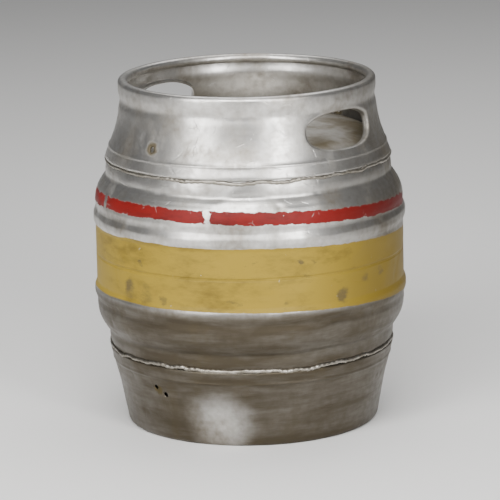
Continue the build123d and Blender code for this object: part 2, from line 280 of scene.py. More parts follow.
# ---------------------------------------------------------------- geometry trees
def knocks_tree() -> Tree:
    """Builds the tree that knocks dents into a sheet, towards a point on the keg's axis.

    Returns:
        The tree, with inputs for the size and depth of broad dents and small dings, and the material.
    """
    tree, start, end = new_geometry_tree(
        "knocks",
        {
            "Centre Height": "NodeSocketFloat",
            "Broad Scale": "NodeSocketFloat",
            "Broad Depth": "NodeSocketFloat",
            "Small Scale": "NodeSocketFloat",
            "Small Depth": "NodeSocketFloat",
            "Seed": "NodeSocketFloat",
            "Finish": "NodeSocketMaterial",
        },
    )
    place = add_node(tree, "GeometryNodeInputPosition").outputs[0]
    depth = None
    for layer, low, high in (("Broad", 0.5, 0.72), ("Small", 0.6, 0.74)):
        pattern = add_node(
            tree,
            "ShaderNodeTexNoise",
            {"noise_dimensions": "4D"},
            {"Vector": place, "W": start.outputs["Seed"], "Scale": start.outputs[f"{layer} Scale"],
             "Detail": 1.0},
        )
        dent = add_node(
            tree,
            "ShaderNodeMapRange",
            {"interpolation_type": "SMOOTHSTEP"},
            {"Value": pattern.outputs[0], "From Min": low, "From Max": high, "To Min": 0.0,
             "To Max": start.outputs[f"{layer} Depth"]},
        ).outputs[0]
        if depth is None:
            depth = dent
        else:
            depth = add_node(tree, "ShaderNodeMath", {"operation": "ADD"}, {0: depth, 1: dent}).outputs[0]
    centre = add_node(tree, "ShaderNodeCombineXYZ", None, {"Z": start.outputs["Centre Height"]})
    inward = add_node(
        tree, "ShaderNodeVectorMath", {"operation": "SUBTRACT"}, {0: centre.outputs[0], 1: place}
    )
    unit = add_node(tree, "ShaderNodeVectorMath", {"operation": "NORMALIZE"}, {0: inward.outputs[0]})
    shift = add_node(
        tree, "ShaderNodeVectorMath", {"operation": "SCALE"}, {0: unit.outputs[0], "Scale": depth}
    )
    moved = add_node(
        tree,
        "GeometryNodeSetPosition",
        None,
        {"Geometry": start.outputs["Geometry"], "Offset": shift.outputs[0]},
    )
    real = add_node(tree, "GeometryNodeRealizeInstances", None, {0: moved.outputs[0]})
    dressed = add_node(
        tree,
        "GeometryNodeSetMaterial",
        None,
        {"Geometry": real.outputs[0], "Material": start.outputs["Finish"]},
    )
    tree.links.new(dressed.outputs[0], end.inputs[0])
    return tree


def revolve_tree() -> Tree:
    """Builds the tree that turns a half section, drawn as a curve, into a full ring.

    Returns:
        The tree, with inputs for the path radius, the segments and the material.
    """
    tree, start, end = new_geometry_tree(
        "revolve",
        {
            "Path Radius": "NodeSocketFloat",
            "Segments": "NodeSocketInt",
            "Finish": "NodeSocketMaterial",
        },
    )
    path = add_node(
        tree,
        "GeometryNodeCurvePrimitiveCircle",
        None,
        {"Resolution": start.outputs["Segments"], "Radius": start.outputs["Path Radius"]},
    )
    ring = add_node(
        tree,
        "GeometryNodeCurveToMesh",
        None,
        {"Curve": path.outputs[0], "Profile Curve": start.outputs["Geometry"]},
    )
    real = add_node(tree, "GeometryNodeRealizeInstances", None, {0: ring.outputs[0]})
    dressed = add_node(
        tree,
        "GeometryNodeSetMaterial",
        None,
        {"Geometry": real.outputs[0], "Material": start.outputs["Finish"]},
    )
    tree.links.new(dressed.outputs[0], end.inputs[0])
    return tree


def weld_tree() -> Tree:
    """Builds the tree of a welded bead: a ring whose thickness ripples and whose line wanders.

    Returns:
        The tree, with inputs for the ring, the bead and its ripples.
    """
    tree, start, end = new_geometry_tree(
        "weld bead",
        {
            "Ring Radius": "NodeSocketFloat",
            "Height": "NodeSocketFloat",
            "Bead Radius": "NodeSocketFloat",
            "Flatness": "NodeSocketFloat",
            "Ripples": "NodeSocketInt",
            "Wander": "NodeSocketFloat",
            "Seed": "NodeSocketFloat",
            "Finish": "NodeSocketMaterial",
        },
    )
    ring = add_node(
        tree,
        "GeometryNodeCurvePrimitiveCircle",
        None,
        {"Resolution": start.outputs["Ripples"], "Radius": start.outputs["Ring Radius"]},
    )
    place = add_node(tree, "GeometryNodeInputPosition").outputs[0]
    wobble = add_node(
        tree,
        "ShaderNodeTexNoise",
        {"noise_dimensions": "4D"},
        {"Vector": place, "W": start.outputs["Seed"], "Scale": 28.0, "Detail": 5.0, "Roughness": 0.6},
    )
    centred = add_node(
        tree,
        "ShaderNodeVectorMath",
        {"operation": "SUBTRACT"},
        {0: wobble.outputs["Color"], 1: (0.5, 0.5, 0.5)},
    )
    upright = add_node(
        tree, "ShaderNodeVectorMath", {"operation": "MULTIPLY"}, {0: centred.outputs[0], 1: (0.25, 0.25, 1.0)}
    )
    drift = add_node(
        tree,
        "ShaderNodeVectorMath",
        {"operation": "SCALE"},
        {0: upright.outputs[0], "Scale": start.outputs["Wander"]},
    )
    lift = add_node(tree, "ShaderNodeCombineXYZ", None, {"Z": start.outputs["Height"]})
    shift = add_node(
        tree, "ShaderNodeVectorMath", {"operation": "ADD"}, {0: drift.outputs[0], 1: lift.outputs[0]}
    )
    line = add_node(
        tree, "GeometryNodeSetPosition", None, {"Geometry": ring.outputs[0], "Offset": shift.outputs[0]}
    )
    order = add_node(tree, "GeometryNodeInputIndex").outputs[0]
    beat = add_node(tree, "ShaderNodeMath", {"operation": "PINGPONG"}, {0: order, 1: 2.0}).outputs[0]
    ripple = add_node(
        tree,
        "ShaderNodeMapRange",
        None,
        {"Value": beat, "From Min": 0.0, "From Max": 2.0, "To Min": 0.86, "To Max": 1.04},
    )
    patchy = add_node(
        tree,
        "ShaderNodeMapRange",
        None,
        {"Value": wobble.outputs[0], "From Min": 0.3, "From Max": 0.7, "To Min": 0.75, "To Max": 1.15},
    )
    swell = add_node(
        tree,
        "ShaderNodeMath",
        {"operation": "MULTIPLY"},
        {0: ripple.outputs[0], 1: patchy.outputs[0]},
    )
    thick = add_node(
        tree,
        "GeometryNodeSetCurveRadius",
        None,
        {"Curve": line.outputs[0], "Radius": swell.outputs[0]},
    )
    section = add_node(
        tree,
        "GeometryNodeCurvePrimitiveCircle",
        None,
        {"Resolution": 10, "Radius": start.outputs["Bead Radius"]},
    )
    squash = add_node(
        tree, "ShaderNodeCombineXYZ", None, {"X": start.outputs["Flatness"], "Y": 1.0, "Z": 1.0}
    )
    oval = add_node(
        tree, "GeometryNodeTransform", None, {"Geometry": section.outputs[0], "Scale": squash.outputs[0]}
    )
    bead_inputs = {"Curve": thick.outputs[0], "Profile Curve": oval.outputs[0]}
    bead = add_node(tree, "GeometryNodeCurveToMesh", None, bead_inputs)
    if "Scale" in bead.inputs:
        radius = add_node(tree, "GeometryNodeInputRadius").outputs[0]
        tree.links.new(radius, bead.inputs["Scale"])
    real = add_node(tree, "GeometryNodeRealizeInstances", None, {0: bead.outputs[0]})
    dressed = add_node(
        tree,
        "GeometryNodeSetMaterial",
        None,
        {"Geometry": real.outputs[0], "Material": start.outputs["Finish"]},
    )
    tree.links.new(dressed.outputs[0], end.inputs[0])
    return tree


# ---------------------------------------------------------------- finishes
@dataclass(frozen=True)
class PaintBand:
    """A hand-painted band round the belly, worn and chipped. Heights are in millimetres.

    A scrape is a place where the band is rubbed through: its azimuth in degrees and half its width.
    A scuff is a brown smudge on it: its azimuth in degrees, its height and its radius.
    """

    low: float
    high: float
    colour: str
    shade: str
    wear: float
    scrapes: tuple[tuple[float, float], ...] = ()
    scuffs: tuple[tuple[float, float, float], ...] = ()


@dataclass(frozen=True)
class Patterns:
    """What a finish's layers share: the place, distances in metres, drawing lines and two noises."""

    tree: Tree
    place: Socket
    height: Socket
    reach: Socket
    lines: Socket
    blotch: bpy.types.Node
    mottle: bpy.types.Node


@dataclass(frozen=True)
class Skin:
    """The sockets that a shader is fed from. The height is in millimetres."""

    colour: Socket
    rough: Socket
    metal: Socket
    gloss: Socket
    height: Socket


@dataclass(frozen=True)
class DrawnStainless:
    """Deep-drawn 304 stainless, rubbed to a satin by years of handling. Sizes are in millimetres.

    The eye gets a satin metal with level drawing lines, duller and warmer low down where it is
    dragged over floors, with fine scratches, pitting and soil in the corners. The drawing lines
    and the scratches of the real metal are finer than a whole view can show, so both are coarser.
    """

    name: str
    clean: str = "#CFCDC9"
    dull: str = "#918A7F"
    film: str = "#4C4539"
    soil: str = "#51472F"
    soil_amount: float = 0.35
    smooth: float = 0.25
    rough: float = 0.42
    low_zone: tuple[float, float] = (177.0, 194.0)
    # Painted shade: the side that faces this azimuth, in degrees, is drawn darker in the film and in the
    # paint. How much of that is dirt and how much is only shade isn't known.
    painted_shade_side: float = 44.0
    line_spacing: float = 1.2
    line_length: float = 167.0
    blotch_size: float = 58.82
    mottle_size: float = 8.333
    soil_size: tuple[float, float, float] = (45.45, 45.45, 111.1)
    film_size: tuple[float, float, float] = (111.1, 111.1, 16.67)
    paint_edge_size: float = 41.67
    chip_size: float = 10.526
    rub_size: tuple[float, float, float] = (111.1, 111.1, 41.67)
    scuff_size: tuple[float, float, float] = (62.5, 62.5, 29.41)
    scratch_bend: float = 33.33
    scratch_break: float = 18.18
    scratch_cell: float = 42.0
    scratch_depth: float = 0.12
    head_height: float = 0.0
    bands: tuple[PaintBand, ...] = ()
    stains: tuple[Spot, ...] = ()
    # Pale patches in the film. They stand in for highlights, and no such patches are known.
    painted_highlights: tuple[Spot, ...] = ()

    def build(self) -> Finish:
        """Makes the material.

        Returns:
            The finished material.
        """
        material = bpy.data.materials.new(self.name)
        material.use_nodes = True
        tree = material.node_tree
        at = self._patterns(tree)
        scratches = self._scratches(at)
        skin = self._bare_steel(at, scratches)
        for band in self.bands:
            skin = self._painted(at, band, scratches, skin)
        bump = add_node(
            tree, "ShaderNodeBump", None, {"Strength": 1.0, "Distance": MM, "Height": skin.height}
        )
        shader = tree.nodes["Principled BSDF"]
        tree.links.new(skin.colour, shader.inputs["Base Color"])
        tree.links.new(skin.rough, shader.inputs["Roughness"])
        tree.links.new(skin.metal, shader.inputs["Metallic"])
        tree.links.new(skin.gloss, shader.inputs["Specular IOR Level"])
        tree.links.new(bump.outputs[0], shader.inputs["Normal"])
        return material

    def _patterns(self, tree: Tree) -> Patterns:
        """Adds the places, distances and noises that the layers share.

        Args:
            tree: The material's node tree.

        Returns:
            The shared patterns.
        """
        place = add_node(tree, "ShaderNodeTexCoord").outputs["Object"]
        axes = add_node(tree, "ShaderNodeSeparateXYZ", None, {0: place})
        flat = add_node(
            tree, "ShaderNodeVectorMath", {"operation": "MULTIPLY"}, {0: place, 1: (1.0, 1.0, 0.0)}
        )
        reach = add_node(tree, "ShaderNodeVectorMath", {"operation": "LENGTH"}, {0: flat.outputs[0]})
        lines_at = add_node(
            tree,
            "ShaderNodeMapping",
            None,
            {"Vector": place, "Scale": cycles(self.line_length, self.line_length, self.line_spacing)},
        )
        lines = add_node(
            tree, "ShaderNodeTexNoise", None, {"Vector": lines_at.outputs[0], "Scale": 1.0, "Detail": 4.0}
        )
        blotch_scale, mottle_scale = cycles(self.blotch_size, self.mottle_size)
        blotch = add_node(
            tree, "ShaderNodeTexNoise", None, {"Vector": place, "Scale": blotch_scale, "Detail": 5.0}
        )
        mottle = add_node(
            tree, "ShaderNodeTexNoise", None, {"Vector": place, "Scale": mottle_scale, "Detail": 6.0}
        )
        return Patterns(
            tree, place, axes.outputs[2], reach.outputs["Value"], lines.outputs[0], blotch, mottle
        )

    def _bare_steel(self, at: Patterns, scratches: Socket) -> Skin:
        """The steel with its film, painted shade, painted highlights and soil, before any paint.

        Args:
            at: The shared patterns.
            scratches: The scratches' mask.

        Returns:
            What the shader needs.
        """
        tree = at.tree
        # The film mask also carries painted shade on one side and painted highlights where it is taken away.
        film, soil, dull = self._film_and_painted_light(at), self._soil(at), self._dullness(at)
        metal = add_node(
            tree,
            "ShaderNodeMix",
            {"data_type": "RGBA"},
            {0: dull, "A": linear(self.clean), "B": linear(self.dull)},
        )
        filmed_with_painted_light = add_node(
            tree,
            "ShaderNodeMix",
            {"data_type": "RGBA"},
            {0: film, "A": metal.outputs["Result"], "B": linear(self.film)},
        )
        soiled = add_node(
            tree,
            "ShaderNodeMix",
            {"data_type": "RGBA"},
            {0: soil, "A": filmed_with_painted_light.outputs["Result"], "B": linear(self.soil)},
        )
        rough = add_node(
            tree, "ShaderNodeMapRange", None, {"Value": dull, "To Min": self.smooth, "To Max": self.rough}
        ).outputs[0]
        for layer, gain in ((film, 0.06), (at.lines, 0.16), (soil, 0.35)):
            rough = add_node(
                tree, "ShaderNodeMath", {"operation": "MULTIPLY_ADD"}, {0: layer, 1: gain, 2: rough}
            ).outputs[0]
        bare = add_node(tree, "ShaderNodeMapRange", None, {"Value": soil, "To Min": 1.0, "To Max": 0.45})
        veiled = add_node(tree, "ShaderNodeMapRange", None, {"Value": film, "To Min": 1.0, "To Max": 0.85})
        metallic = add_node(
            tree, "ShaderNodeMath", {"operation": "MULTIPLY"}, {0: bare.outputs[0], 1: veiled.outputs[0]}
        )
        gloss = add_node(tree, "ShaderNodeMapRange", None, {"Value": film, "To Min": 0.5, "To Max": 0.15})
        height = self._relief(at, scratches)
        return Skin(soiled.outputs["Result"], rough, metallic.outputs[0], gloss.outputs[0], height)

    def _painted(self, at: Patterns, band: PaintBand, scratches: Socket, under: Skin) -> Skin:
        """Lays a paint band over what is there.

        Args:
            at: The shared patterns.
            band: The band.
            scratches: The scratches' mask.
            under: What the shader needs without the band.

        Returns:
            What the shader needs with it.
        """
        tree = at.tree
        mask = self._band_mask(at, band, scratches)
        paint = self._paint_colour(at, band)
        colour = add_node(
            tree, "ShaderNodeMix", {"data_type": "RGBA"}, {0: mask, "A": under.colour, "B": paint}
        )
        rough, metal, gloss = (
            add_node(tree, "ShaderNodeMix", None, {0: mask, "A": below, "B": above}).outputs["Result"]
            for below, above in ((under.rough, 0.5), (under.metal, 0.0), (under.gloss, 0.22))
        )
        height = add_node(
            tree, "ShaderNodeMath", {"operation": "MULTIPLY_ADD"}, {0: mask, 1: 0.1, 2: under.height}
        )
        return Skin(colour.outputs["Result"], rough, metal, gloss, height.outputs[0])

    def _dullness(self, at: Patterns) -> Socket:
        """How dull the bare metal is, from a broad and a fine noise.

        Args:
            at: The shared patterns.

        Returns:
            The dullness's socket.
        """
        worn = add_node(
            at.tree,
            "ShaderNodeMapRange",
            {"interpolation_type": "SMOOTHSTEP"},
            {"Value": at.blotch.outputs[0], "From Min": 0.45, "From Max": 0.7, "To Min": 0.0, "To Max": 0.45},
        )
        mixed = add_node(
            at.tree,
            "ShaderNodeMath",
            {"operation": "MULTIPLY_ADD", "use_clamp": True},
            {0: at.mottle.outputs[0], 1: 0.8, 2: worn.outputs[0]},
        )
        return add_node(
            at.tree,
            "ShaderNodeMapRange",
            None,
            {"Value": mixed.outputs[0], "From Min": 0.33, "From Max": 1.0},
        ).outputs[0]

    def _soil(self, at: Patterns) -> Socket:
        """Where soil lies: in patches, on the head and round the drains.

        Args:
            at: The shared patterns.

        Returns:
            The mask's socket.
        """
        tree = at.tree
        soil_at = add_node(
            tree, "ShaderNodeMapping", None, {"Vector": at.place, "Scale": cycles(*self.soil_size)}
        )
        noise_inputs = {"Vector": soil_at.outputs[0], "Scale": 1.0, "Detail": 8.0, "Roughness": 0.68}
        patches = add_node(tree, "ShaderNodeTexNoise", None, noise_inputs)
        mask = add_node(
            tree,
            "ShaderNodeMapRange",
            {"interpolation_type": "SMOOTHSTEP"},
            {"Value": patches.outputs[0], "From Min": 0.5, "From Max": 0.72, "To Max": self.soil_amount},
        ).outputs[0]
        if self.head_height:
            mask = self._head_soil(at, mask)
        for stain in self.stains:
            mask = self._stain(at, stain, at.mottle.outputs["Color"], mask)
        return mask

    def _film_and_painted_light(self, at: Patterns) -> Socket:
        """Where the low part of the keg is dulled by a thin warm film, in faint level rings, with painted
        shade on one side and painted highlights cut out of it.

        Args:
            at: The shared patterns.

        Returns:
            The strength of the film, with its painted shade and highlights.
        """
        tree = at.tree
        wavy = add_node(
            tree,
            "ShaderNodeMath",
            {"operation": "MULTIPLY_ADD"},
            {0: at.blotch.outputs[0], 1: 16 * MM, 2: at.height},
        )
        low = add_node(
            tree,
            "ShaderNodeMapRange",
            {"interpolation_type": "SMOOTHSTEP"},
            {"Value": wavy.outputs[0], "From Min": (self.low_zone[0] + 8) * MM,
             "From Max": (self.low_zone[1] + 8) * MM, "To Min": 1.0, "To Max": 0.0},
        )
        rings_at = add_node(
            tree, "ShaderNodeMapping", None, {"Vector": at.place, "Scale": cycles(*self.film_size)}
        )
        rings = add_node(
            tree,
            "ShaderNodeTexNoise",
            None,
            {"Vector": rings_at.outputs[0], "Scale": 1.0, "Detail": 7.0, "Roughness": 0.62},
        )
        share = add_node(
            tree,
            "ShaderNodeMapRange",
            None,
            {"Value": rings.outputs[0], "From Min": 0.35, "From Max": 0.6, "To Min": 0.88, "To Max": 1.0},
        )
        # Painted shade: one side of the keg gets the dark film as well.
        side = self._painted_shade(at)
        either = add_node(tree, "ShaderNodeMath", {"operation": "MAXIMUM"}, {0: low.outputs[0], 1: side})
        film = add_node(
            tree, "ShaderNodeMath", {"operation": "MULTIPLY"}, {0: either.outputs[0], 1: share.outputs[0]}
        ).outputs[0]
        # Painted highlights: the film is taken away in these spots so the bare steel shows pale.
        for patch in self.painted_highlights:
            rubbed = self._stain(at, patch, at.blotch.outputs["Color"], 0.0, 24.0, 0.0)
            film = add_node(
                tree, "ShaderNodeMath", {"operation": "SUBTRACT", "use_clamp": True}, {0: film, 1: rubbed}
            ).outputs[0]
        return film

    def _painted_shade(self, at: Patterns) -> Socket:
        """How far a point is round to the side that is drawn darker, as painted shade.

        Args:
            at: The shared patterns.

        Returns:
            The painted shade's strength.
        """
        turn = math.radians(self.painted_shade_side)
        lean = add_node(
            at.tree,
            "ShaderNodeVectorMath",
            {"operation": "DOT_PRODUCT"},
            {0: at.place, 1: (math.cos(turn), math.sin(turn), 0.0)},
        )
        return add_node(
            at.tree,
            "ShaderNodeMapRange",
            {"interpolation_type": "SMOOTHSTEP"},
            {
                "Value": lean.outputs["Value"],
                "From Min": 0.06,
                "From Max": 0.19,
                "To Min": 0.0,
                "To Max": 0.75,
            },
        ).outputs[0]

    def _stain(
        self,
        at: Patterns,
        stain: Spot,
        fraying: Socket,
        soil_mask: Socket | float,
        fray: float = 9.0,
        core: float = 0.5,
    ) -> Socket:
        """Adds a spot to a mask, such as the dirt round a drain hole.

        Args:
            at: The shared patterns.
            stain: The spot's centre and radius in millimetres.
            fraying: The noise that frays the edge.
            soil_mask: The mask so far.
            fray: How far the edge is frayed, in millimetres.
            core: The share of the radius that is at full strength.

        Returns:
            The mask's socket.
        """
        rough_place = add_node(
            at.tree,
            "ShaderNodeVectorMath",
            {"operation": "MULTIPLY_ADD"},
            {0: fraying, 1: (fray * MM, fray * MM, fray * MM), 2: at.place},
        )
        middle = tuple((value + fray / 2) * MM for value in stain[:3])  # the noise averages a half
        away = add_node(
            at.tree,
            "ShaderNodeVectorMath",
            {"operation": "DISTANCE"},
            {0: rough_place.outputs[0], 1: middle},
        )
        spot = add_node(
            at.tree,
            "ShaderNodeMapRange",
            {"interpolation_type": "SMOOTHSTEP"},
            {"Value": away.outputs["Value"], "From Min": stain[3] * core * MM, "From Max": stain[3] * MM,
             "To Min": 0.95, "To Max": 0.0},
        )
        return add_node(
            at.tree, "ShaderNodeMath", {"operation": "MAXIMUM"}, {0: spot.outputs[0], 1: soil_mask}
        ).outputs[0]

    def _head_soil(self, at: Patterns, soil_mask: Socket) -> Socket:
        """Adds the brown beer and rust stains that stand on the head inside the collar.

        Args:
            at: The shared patterns.
            soil_mask: The mask so far.

        Returns:
            The mask's socket.
        """
        above = add_node(
            at.tree,
            "ShaderNodeMapRange",
            None,
            {
                "Value": at.height,
                "From Min": (self.head_height - 26) * MM,
                "From Max": (self.head_height - 10) * MM,
            },
        )
        stain = add_node(
            at.tree,
            "ShaderNodeMapRange",
            {"interpolation_type": "SMOOTHSTEP"},
            {
                "Value": at.blotch.outputs[0],
                "From Min": 0.36,
                "From Max": 0.64,
                "To Min": 0.4,
                "To Max": 0.85,
            },
        )
        edge = add_node(
            at.tree,
            "ShaderNodeMapRange",
            {"interpolation_type": "SMOOTHSTEP"},
            {"Value": at.reach, "From Min": 0.11, "From Max": 0.175, "To Min": 0.75, "To Max": 1.3},
        )
        strong = add_node(
            at.tree, "ShaderNodeMath", {"operation": "MULTIPLY"}, {0: stain.outputs[0], 1: edge.outputs[0]}
        )
        inside = add_node(
            at.tree,
            "ShaderNodeMath",
            {"operation": "MULTIPLY", "use_clamp": True},
            {0: strong.outputs[0], 1: above.outputs[0]},
        )
        return add_node(
            at.tree, "ShaderNodeMath", {"operation": "MAXIMUM"}, {0: inside.outputs[0], 1: soil_mask}
        ).outputs[0]

    def _scratches(self, at: Patterns) -> Socket:
        """Broken fine scratches, as a mask.

        Args:
            at: The shared patterns.

        Returns:
            The mask's socket.
        """
        tree, place = at.tree, at.place
        bend = add_node(
            tree,
            "ShaderNodeTexNoise",
            None,
            {"Vector": place, "Scale": cycles(self.scratch_bend)[0], "Detail": 1.0},
        )
        bent = add_node(
            tree,
            "ShaderNodeVectorMath",
            {"operation": "MULTIPLY_ADD"},
            {0: bend.outputs["Color"], 1: (0.03, 0.03, 0.03), 2: place},
        )
        cells = add_node(
            tree,
            "ShaderNodeTexVoronoi",
            {"feature": "DISTANCE_TO_EDGE"},
            {"Vector": bent.outputs[0], "Scale": 1 / (self.scratch_cell * MM)},
        )
        line = add_node(
            tree,
            "ShaderNodeMapRange",
            {"interpolation_type": "SMOOTHSTEP"},
            {
                "Value": cells.outputs["Distance"],
                "From Min": 0.0,
                "From Max": 0.02,
                "To Min": 1.0,
                "To Max": 0.0,
            },
        )
        broken = add_node(
            tree,
            "ShaderNodeTexNoise",
            None,
            {"Vector": place, "Scale": cycles(self.scratch_break)[0], "Detail": 3.0},
        )
        kept = add_node(
            tree, "ShaderNodeMapRange", None, {"Value": broken.outputs[0], "From Min": 0.52, "From Max": 0.6}
        )
        return add_node(
            tree, "ShaderNodeMath", {"operation": "MULTIPLY"}, {0: line.outputs[0], 1: kept.outputs[0]}
        ).outputs[0]

    def _relief(self, at: Patterns, scratches: Socket) -> Socket:
        """Height of the surface in millimetres: drawing lines, pitting and scratches.

        Args:
            at: The shared patterns.
            scratches: The scratches' mask.

        Returns:
            The height's socket.
        """
        base = add_node(
            at.tree, "ShaderNodeMath", {"operation": "MULTIPLY"}, {0: at.lines, 1: 0.035}
        ).outputs[0]
        pitted = add_node(
            at.tree,
            "ShaderNodeMath",
            {"operation": "MULTIPLY_ADD"},
            {0: at.mottle.outputs[0], 1: 0.075, 2: base},
        ).outputs[0]
        return add_node(
            at.tree,
            "ShaderNodeMath",
            {"operation": "MULTIPLY_ADD"},
            {0: scratches, 1: -self.scratch_depth, 2: pitted},
        ).outputs[0]

    def _band_mask(self, at: Patterns, band: PaintBand, scratches: Socket) -> Socket:
        """Where a paint band still covers the steel.

        Args:
            at: The shared patterns.
            band: The band.
            scratches: The scratches' mask.

        Returns:
            The mask's socket.
        """
        tree, place = at.tree, at.place
        wander = add_node(
            tree,
            "ShaderNodeTexNoise",
            None,
            {"Vector": place, "Scale": cycles(self.paint_edge_size)[0], "Detail": 6.0},
        )
        lean = add_node(
            tree,
            "ShaderNodeVectorMath",
            {"operation": "DOT_PRODUCT"},
            {0: place, 1: (-0.009, 0.047, 1.0)},
        )
        level = add_node(
            tree,
            "ShaderNodeMath",
            {"operation": "MULTIPLY_ADD"},
            {0: wander.outputs[0], 1: 2.0 * MM, 2: lean.outputs["Value"]},
        ).outputs[0]
        above = add_node(
            tree, "ShaderNodeMath", {"operation": "SUBTRACT"}, {0: level, 1: (band.low + 1) * MM}
        )
        below = add_node(
            tree, "ShaderNodeMath", {"operation": "SUBTRACT"}, {0: (band.high + 1) * MM, 1: level}
        )
        inside = add_node(
            tree, "ShaderNodeMath", {"operation": "MINIMUM"}, {0: above.outputs[0], 1: below.outputs[0]}
        ).outputs[0]
        chips = add_node(
            tree,
            "ShaderNodeTexNoise",
            None,
            {"Vector": place, "Scale": cycles(self.chip_size)[0], "Detail": 8.0, "Roughness": 0.62},
        )
        crest = add_node(
            tree,
            "ShaderNodeMapRange",
            {"interpolation_type": "SMOOTHSTEP"},
            {"Value": at.reach, "From Min": 0.2032, "From Max": 0.2052, "To Min": 0.0, "To Max": 0.005},
        )
        loss = add_node(
            tree,
            "ShaderNodeMapRange",
            None,
            {
                "Value": chips.outputs[0],
                "From Min": 0.42,
                "From Max": 0.8,
                "To Min": 0.0,
                "To Max": 3.0 * MM * band.wear,
            },
        )
        left = add_node(tree, "ShaderNodeMath", {"operation": "SUBTRACT"}, {0: inside, 1: loss.outputs[0]})
        left_crest = add_node(
            tree, "ShaderNodeMath", {"operation": "SUBTRACT"}, {0: left.outputs[0], 1: crest.outputs[0]}
        )
        cover = add_node(
            tree,
            "ShaderNodeMapRange",
            None,
            {"Value": left_crest.outputs[0], "From Min": -0.2 * MM, "From Max": 0.3 * MM},
        )
        bare = add_node(
            tree,
            "ShaderNodeMapRange",
            None,
            {"Value": chips.outputs[0], "From Min": 0.69, "From Max": 0.72, "To Min": 1.0, "To Max": 0.0},
        )
        kept = add_node(
            tree, "ShaderNodeMath", {"operation": "MULTIPLY"}, {0: cover.outputs[0], 1: bare.outputs[0]}
        )
        scored = add_node(
            tree,
            "ShaderNodeMath",
            {"operation": "MULTIPLY"},
            {0: scratches, 1: max(band.wear - 0.6, 0.0) * 0.5},
        )
        mask = add_node(
            tree,
            "ShaderNodeMath",
            {"operation": "SUBTRACT", "use_clamp": True},
            {0: kept.outputs[0], 1: scored.outputs[0]},
        ).outputs[0]
        for azimuth, half in band.scrapes:
            mask = self._scrape(at, azimuth, half, chips.outputs[0], mask)
        return mask

    def _scrape(self, at: Patterns, azimuth: float, half: float, chips: Socket, mask: Socket) -> Socket:
        """Takes paint off a ragged strip across a band.

        Args:
            at: The shared patterns.
            azimuth: Where the strip is, in degrees.
            half: Half its width in millimetres.
            chips: The noise that makes it ragged.
            mask: The band's mask so far.

        Returns:
            The mask's socket.
        """
        tree, place = at.tree, at.place
        turn = math.radians(azimuth)
        outward, along = (math.cos(turn), math.sin(turn), 0.0), (-math.sin(turn), math.cos(turn), 0.22)
        across = add_node(tree, "ShaderNodeVectorMath", {"operation": "DOT_PRODUCT"}, {0: place, 1: along})
        centred = add_node(
            tree, "ShaderNodeMath", {"operation": "SUBTRACT"}, {0: across.outputs["Value"], 1: 0.22 * 0.3}
        )
        away = add_node(tree, "ShaderNodeMath", {"operation": "ABSOLUTE"}, {0: centred.outputs[0]})
        ragged = add_node(
            tree, "ShaderNodeMath", {"operation": "MULTIPLY_ADD"}, {0: chips, 1: 24 * MM, 2: away.outputs[0]}
        )
        clear = add_node(
            tree,
            "ShaderNodeMapRange",
            None,
            {"Value": ragged.outputs[0], "From Min": (half + 11.6) * MM, "From Max": (half + 12.6) * MM},
        )
        front = add_node(tree, "ShaderNodeVectorMath", {"operation": "DOT_PRODUCT"}, {0: place, 1: outward})
        behind = add_node(
            tree, "ShaderNodeMath", {"operation": "LESS_THAN"}, {0: front.outputs["Value"], 1: 0.0}
        )
        open_part = add_node(
            tree, "ShaderNodeMath", {"operation": "MAXIMUM"}, {0: clear.outputs[0], 1: behind.outputs[0]}
        )
        return add_node(
            tree, "ShaderNodeMath", {"operation": "MULTIPLY"}, {0: mask, 1: open_part.outputs[0]}
        ).outputs[0]

    def _paint_colour(self, at: Patterns, band: PaintBand) -> Socket:
        """The paint's colour with grime rubbed into it, and painted shade on one side.

        Args:
            at: The shared patterns.
            band: The band.

        Returns:
            The colour's socket.
        """
        tree, place = at.tree, at.place
        rub_at = add_node(tree, "ShaderNodeMapping", None, {"Vector": place, "Scale": cycles(*self.rub_size)})
        rub = add_node(
            tree,
            "ShaderNodeTexNoise",
            None,
            {"Vector": rub_at.outputs[0], "Scale": 1.0, "Detail": 9.0, "Roughness": 0.7},
        )
        rubbed = add_node(
            tree,
            "ShaderNodeMapRange",
            {"interpolation_type": "SMOOTHSTEP"},
            {"Value": rub.outputs[0], "From Min": 0.45, "From Max": 0.75},
        )
        # Painted shade: the paint turns to its darker colour on one side as well.
        amount = add_node(
            tree, "ShaderNodeMath", {"operation": "MAXIMUM"}, {0: rubbed.outputs[0], 1: self._painted_shade(at)}
        )
        scuff_at = add_node(
            tree, "ShaderNodeMapping", None, {"Vector": place, "Scale": cycles(*self.scuff_size)}
        )
        scuff_noise = add_node(
            tree,
            "ShaderNodeTexNoise",
            None,
            {"Vector": scuff_at.outputs[0], "Scale": 1.0, "Detail": 12.0, "Roughness": 0.75},
        )
        scuff = add_node(
            tree,
            "ShaderNodeMapRange",
            None,
            {"Value": scuff_noise.outputs[0], "From Min": 0.62, "From Max": 0.68, "To Max": 0.85},
        )
        grime_and_painted_shade = add_node(
            tree,
            "ShaderNodeMix",
            {"data_type": "RGBA"},
            {0: amount.outputs[0], "A": linear(band.colour), "B": linear(band.shade)},
        )
        smudged = scuff.outputs[0]
        for azimuth, height, radius in band.scuffs:
            turn = math.radians(azimuth)
            spot = (203.0 * math.cos(turn), 203.0 * math.sin(turn), height, radius)
            smudged = self._stain(at, spot, rub.outputs["Color"], smudged, 46.0)
        ragged = add_node(
            tree,
            "ShaderNodeMapRange",
            None,
            {"Value": scuff_noise.outputs[0], "From Min": 0.42, "From Max": 0.56, "To Max": 0.9},
        )
        part = add_node(tree, "ShaderNodeMath", {"operation": "MULTIPLY"}, {0: smudged, 1: ragged.outputs[0]})
        return add_node(
            tree,
            "ShaderNodeMix",
            {"data_type": "RGBA"},
            {0: part.outputs[0], "A": grime_and_painted_shade.outputs["Result"], "B": linear(self.soil)},
        ).outputs["Result"]


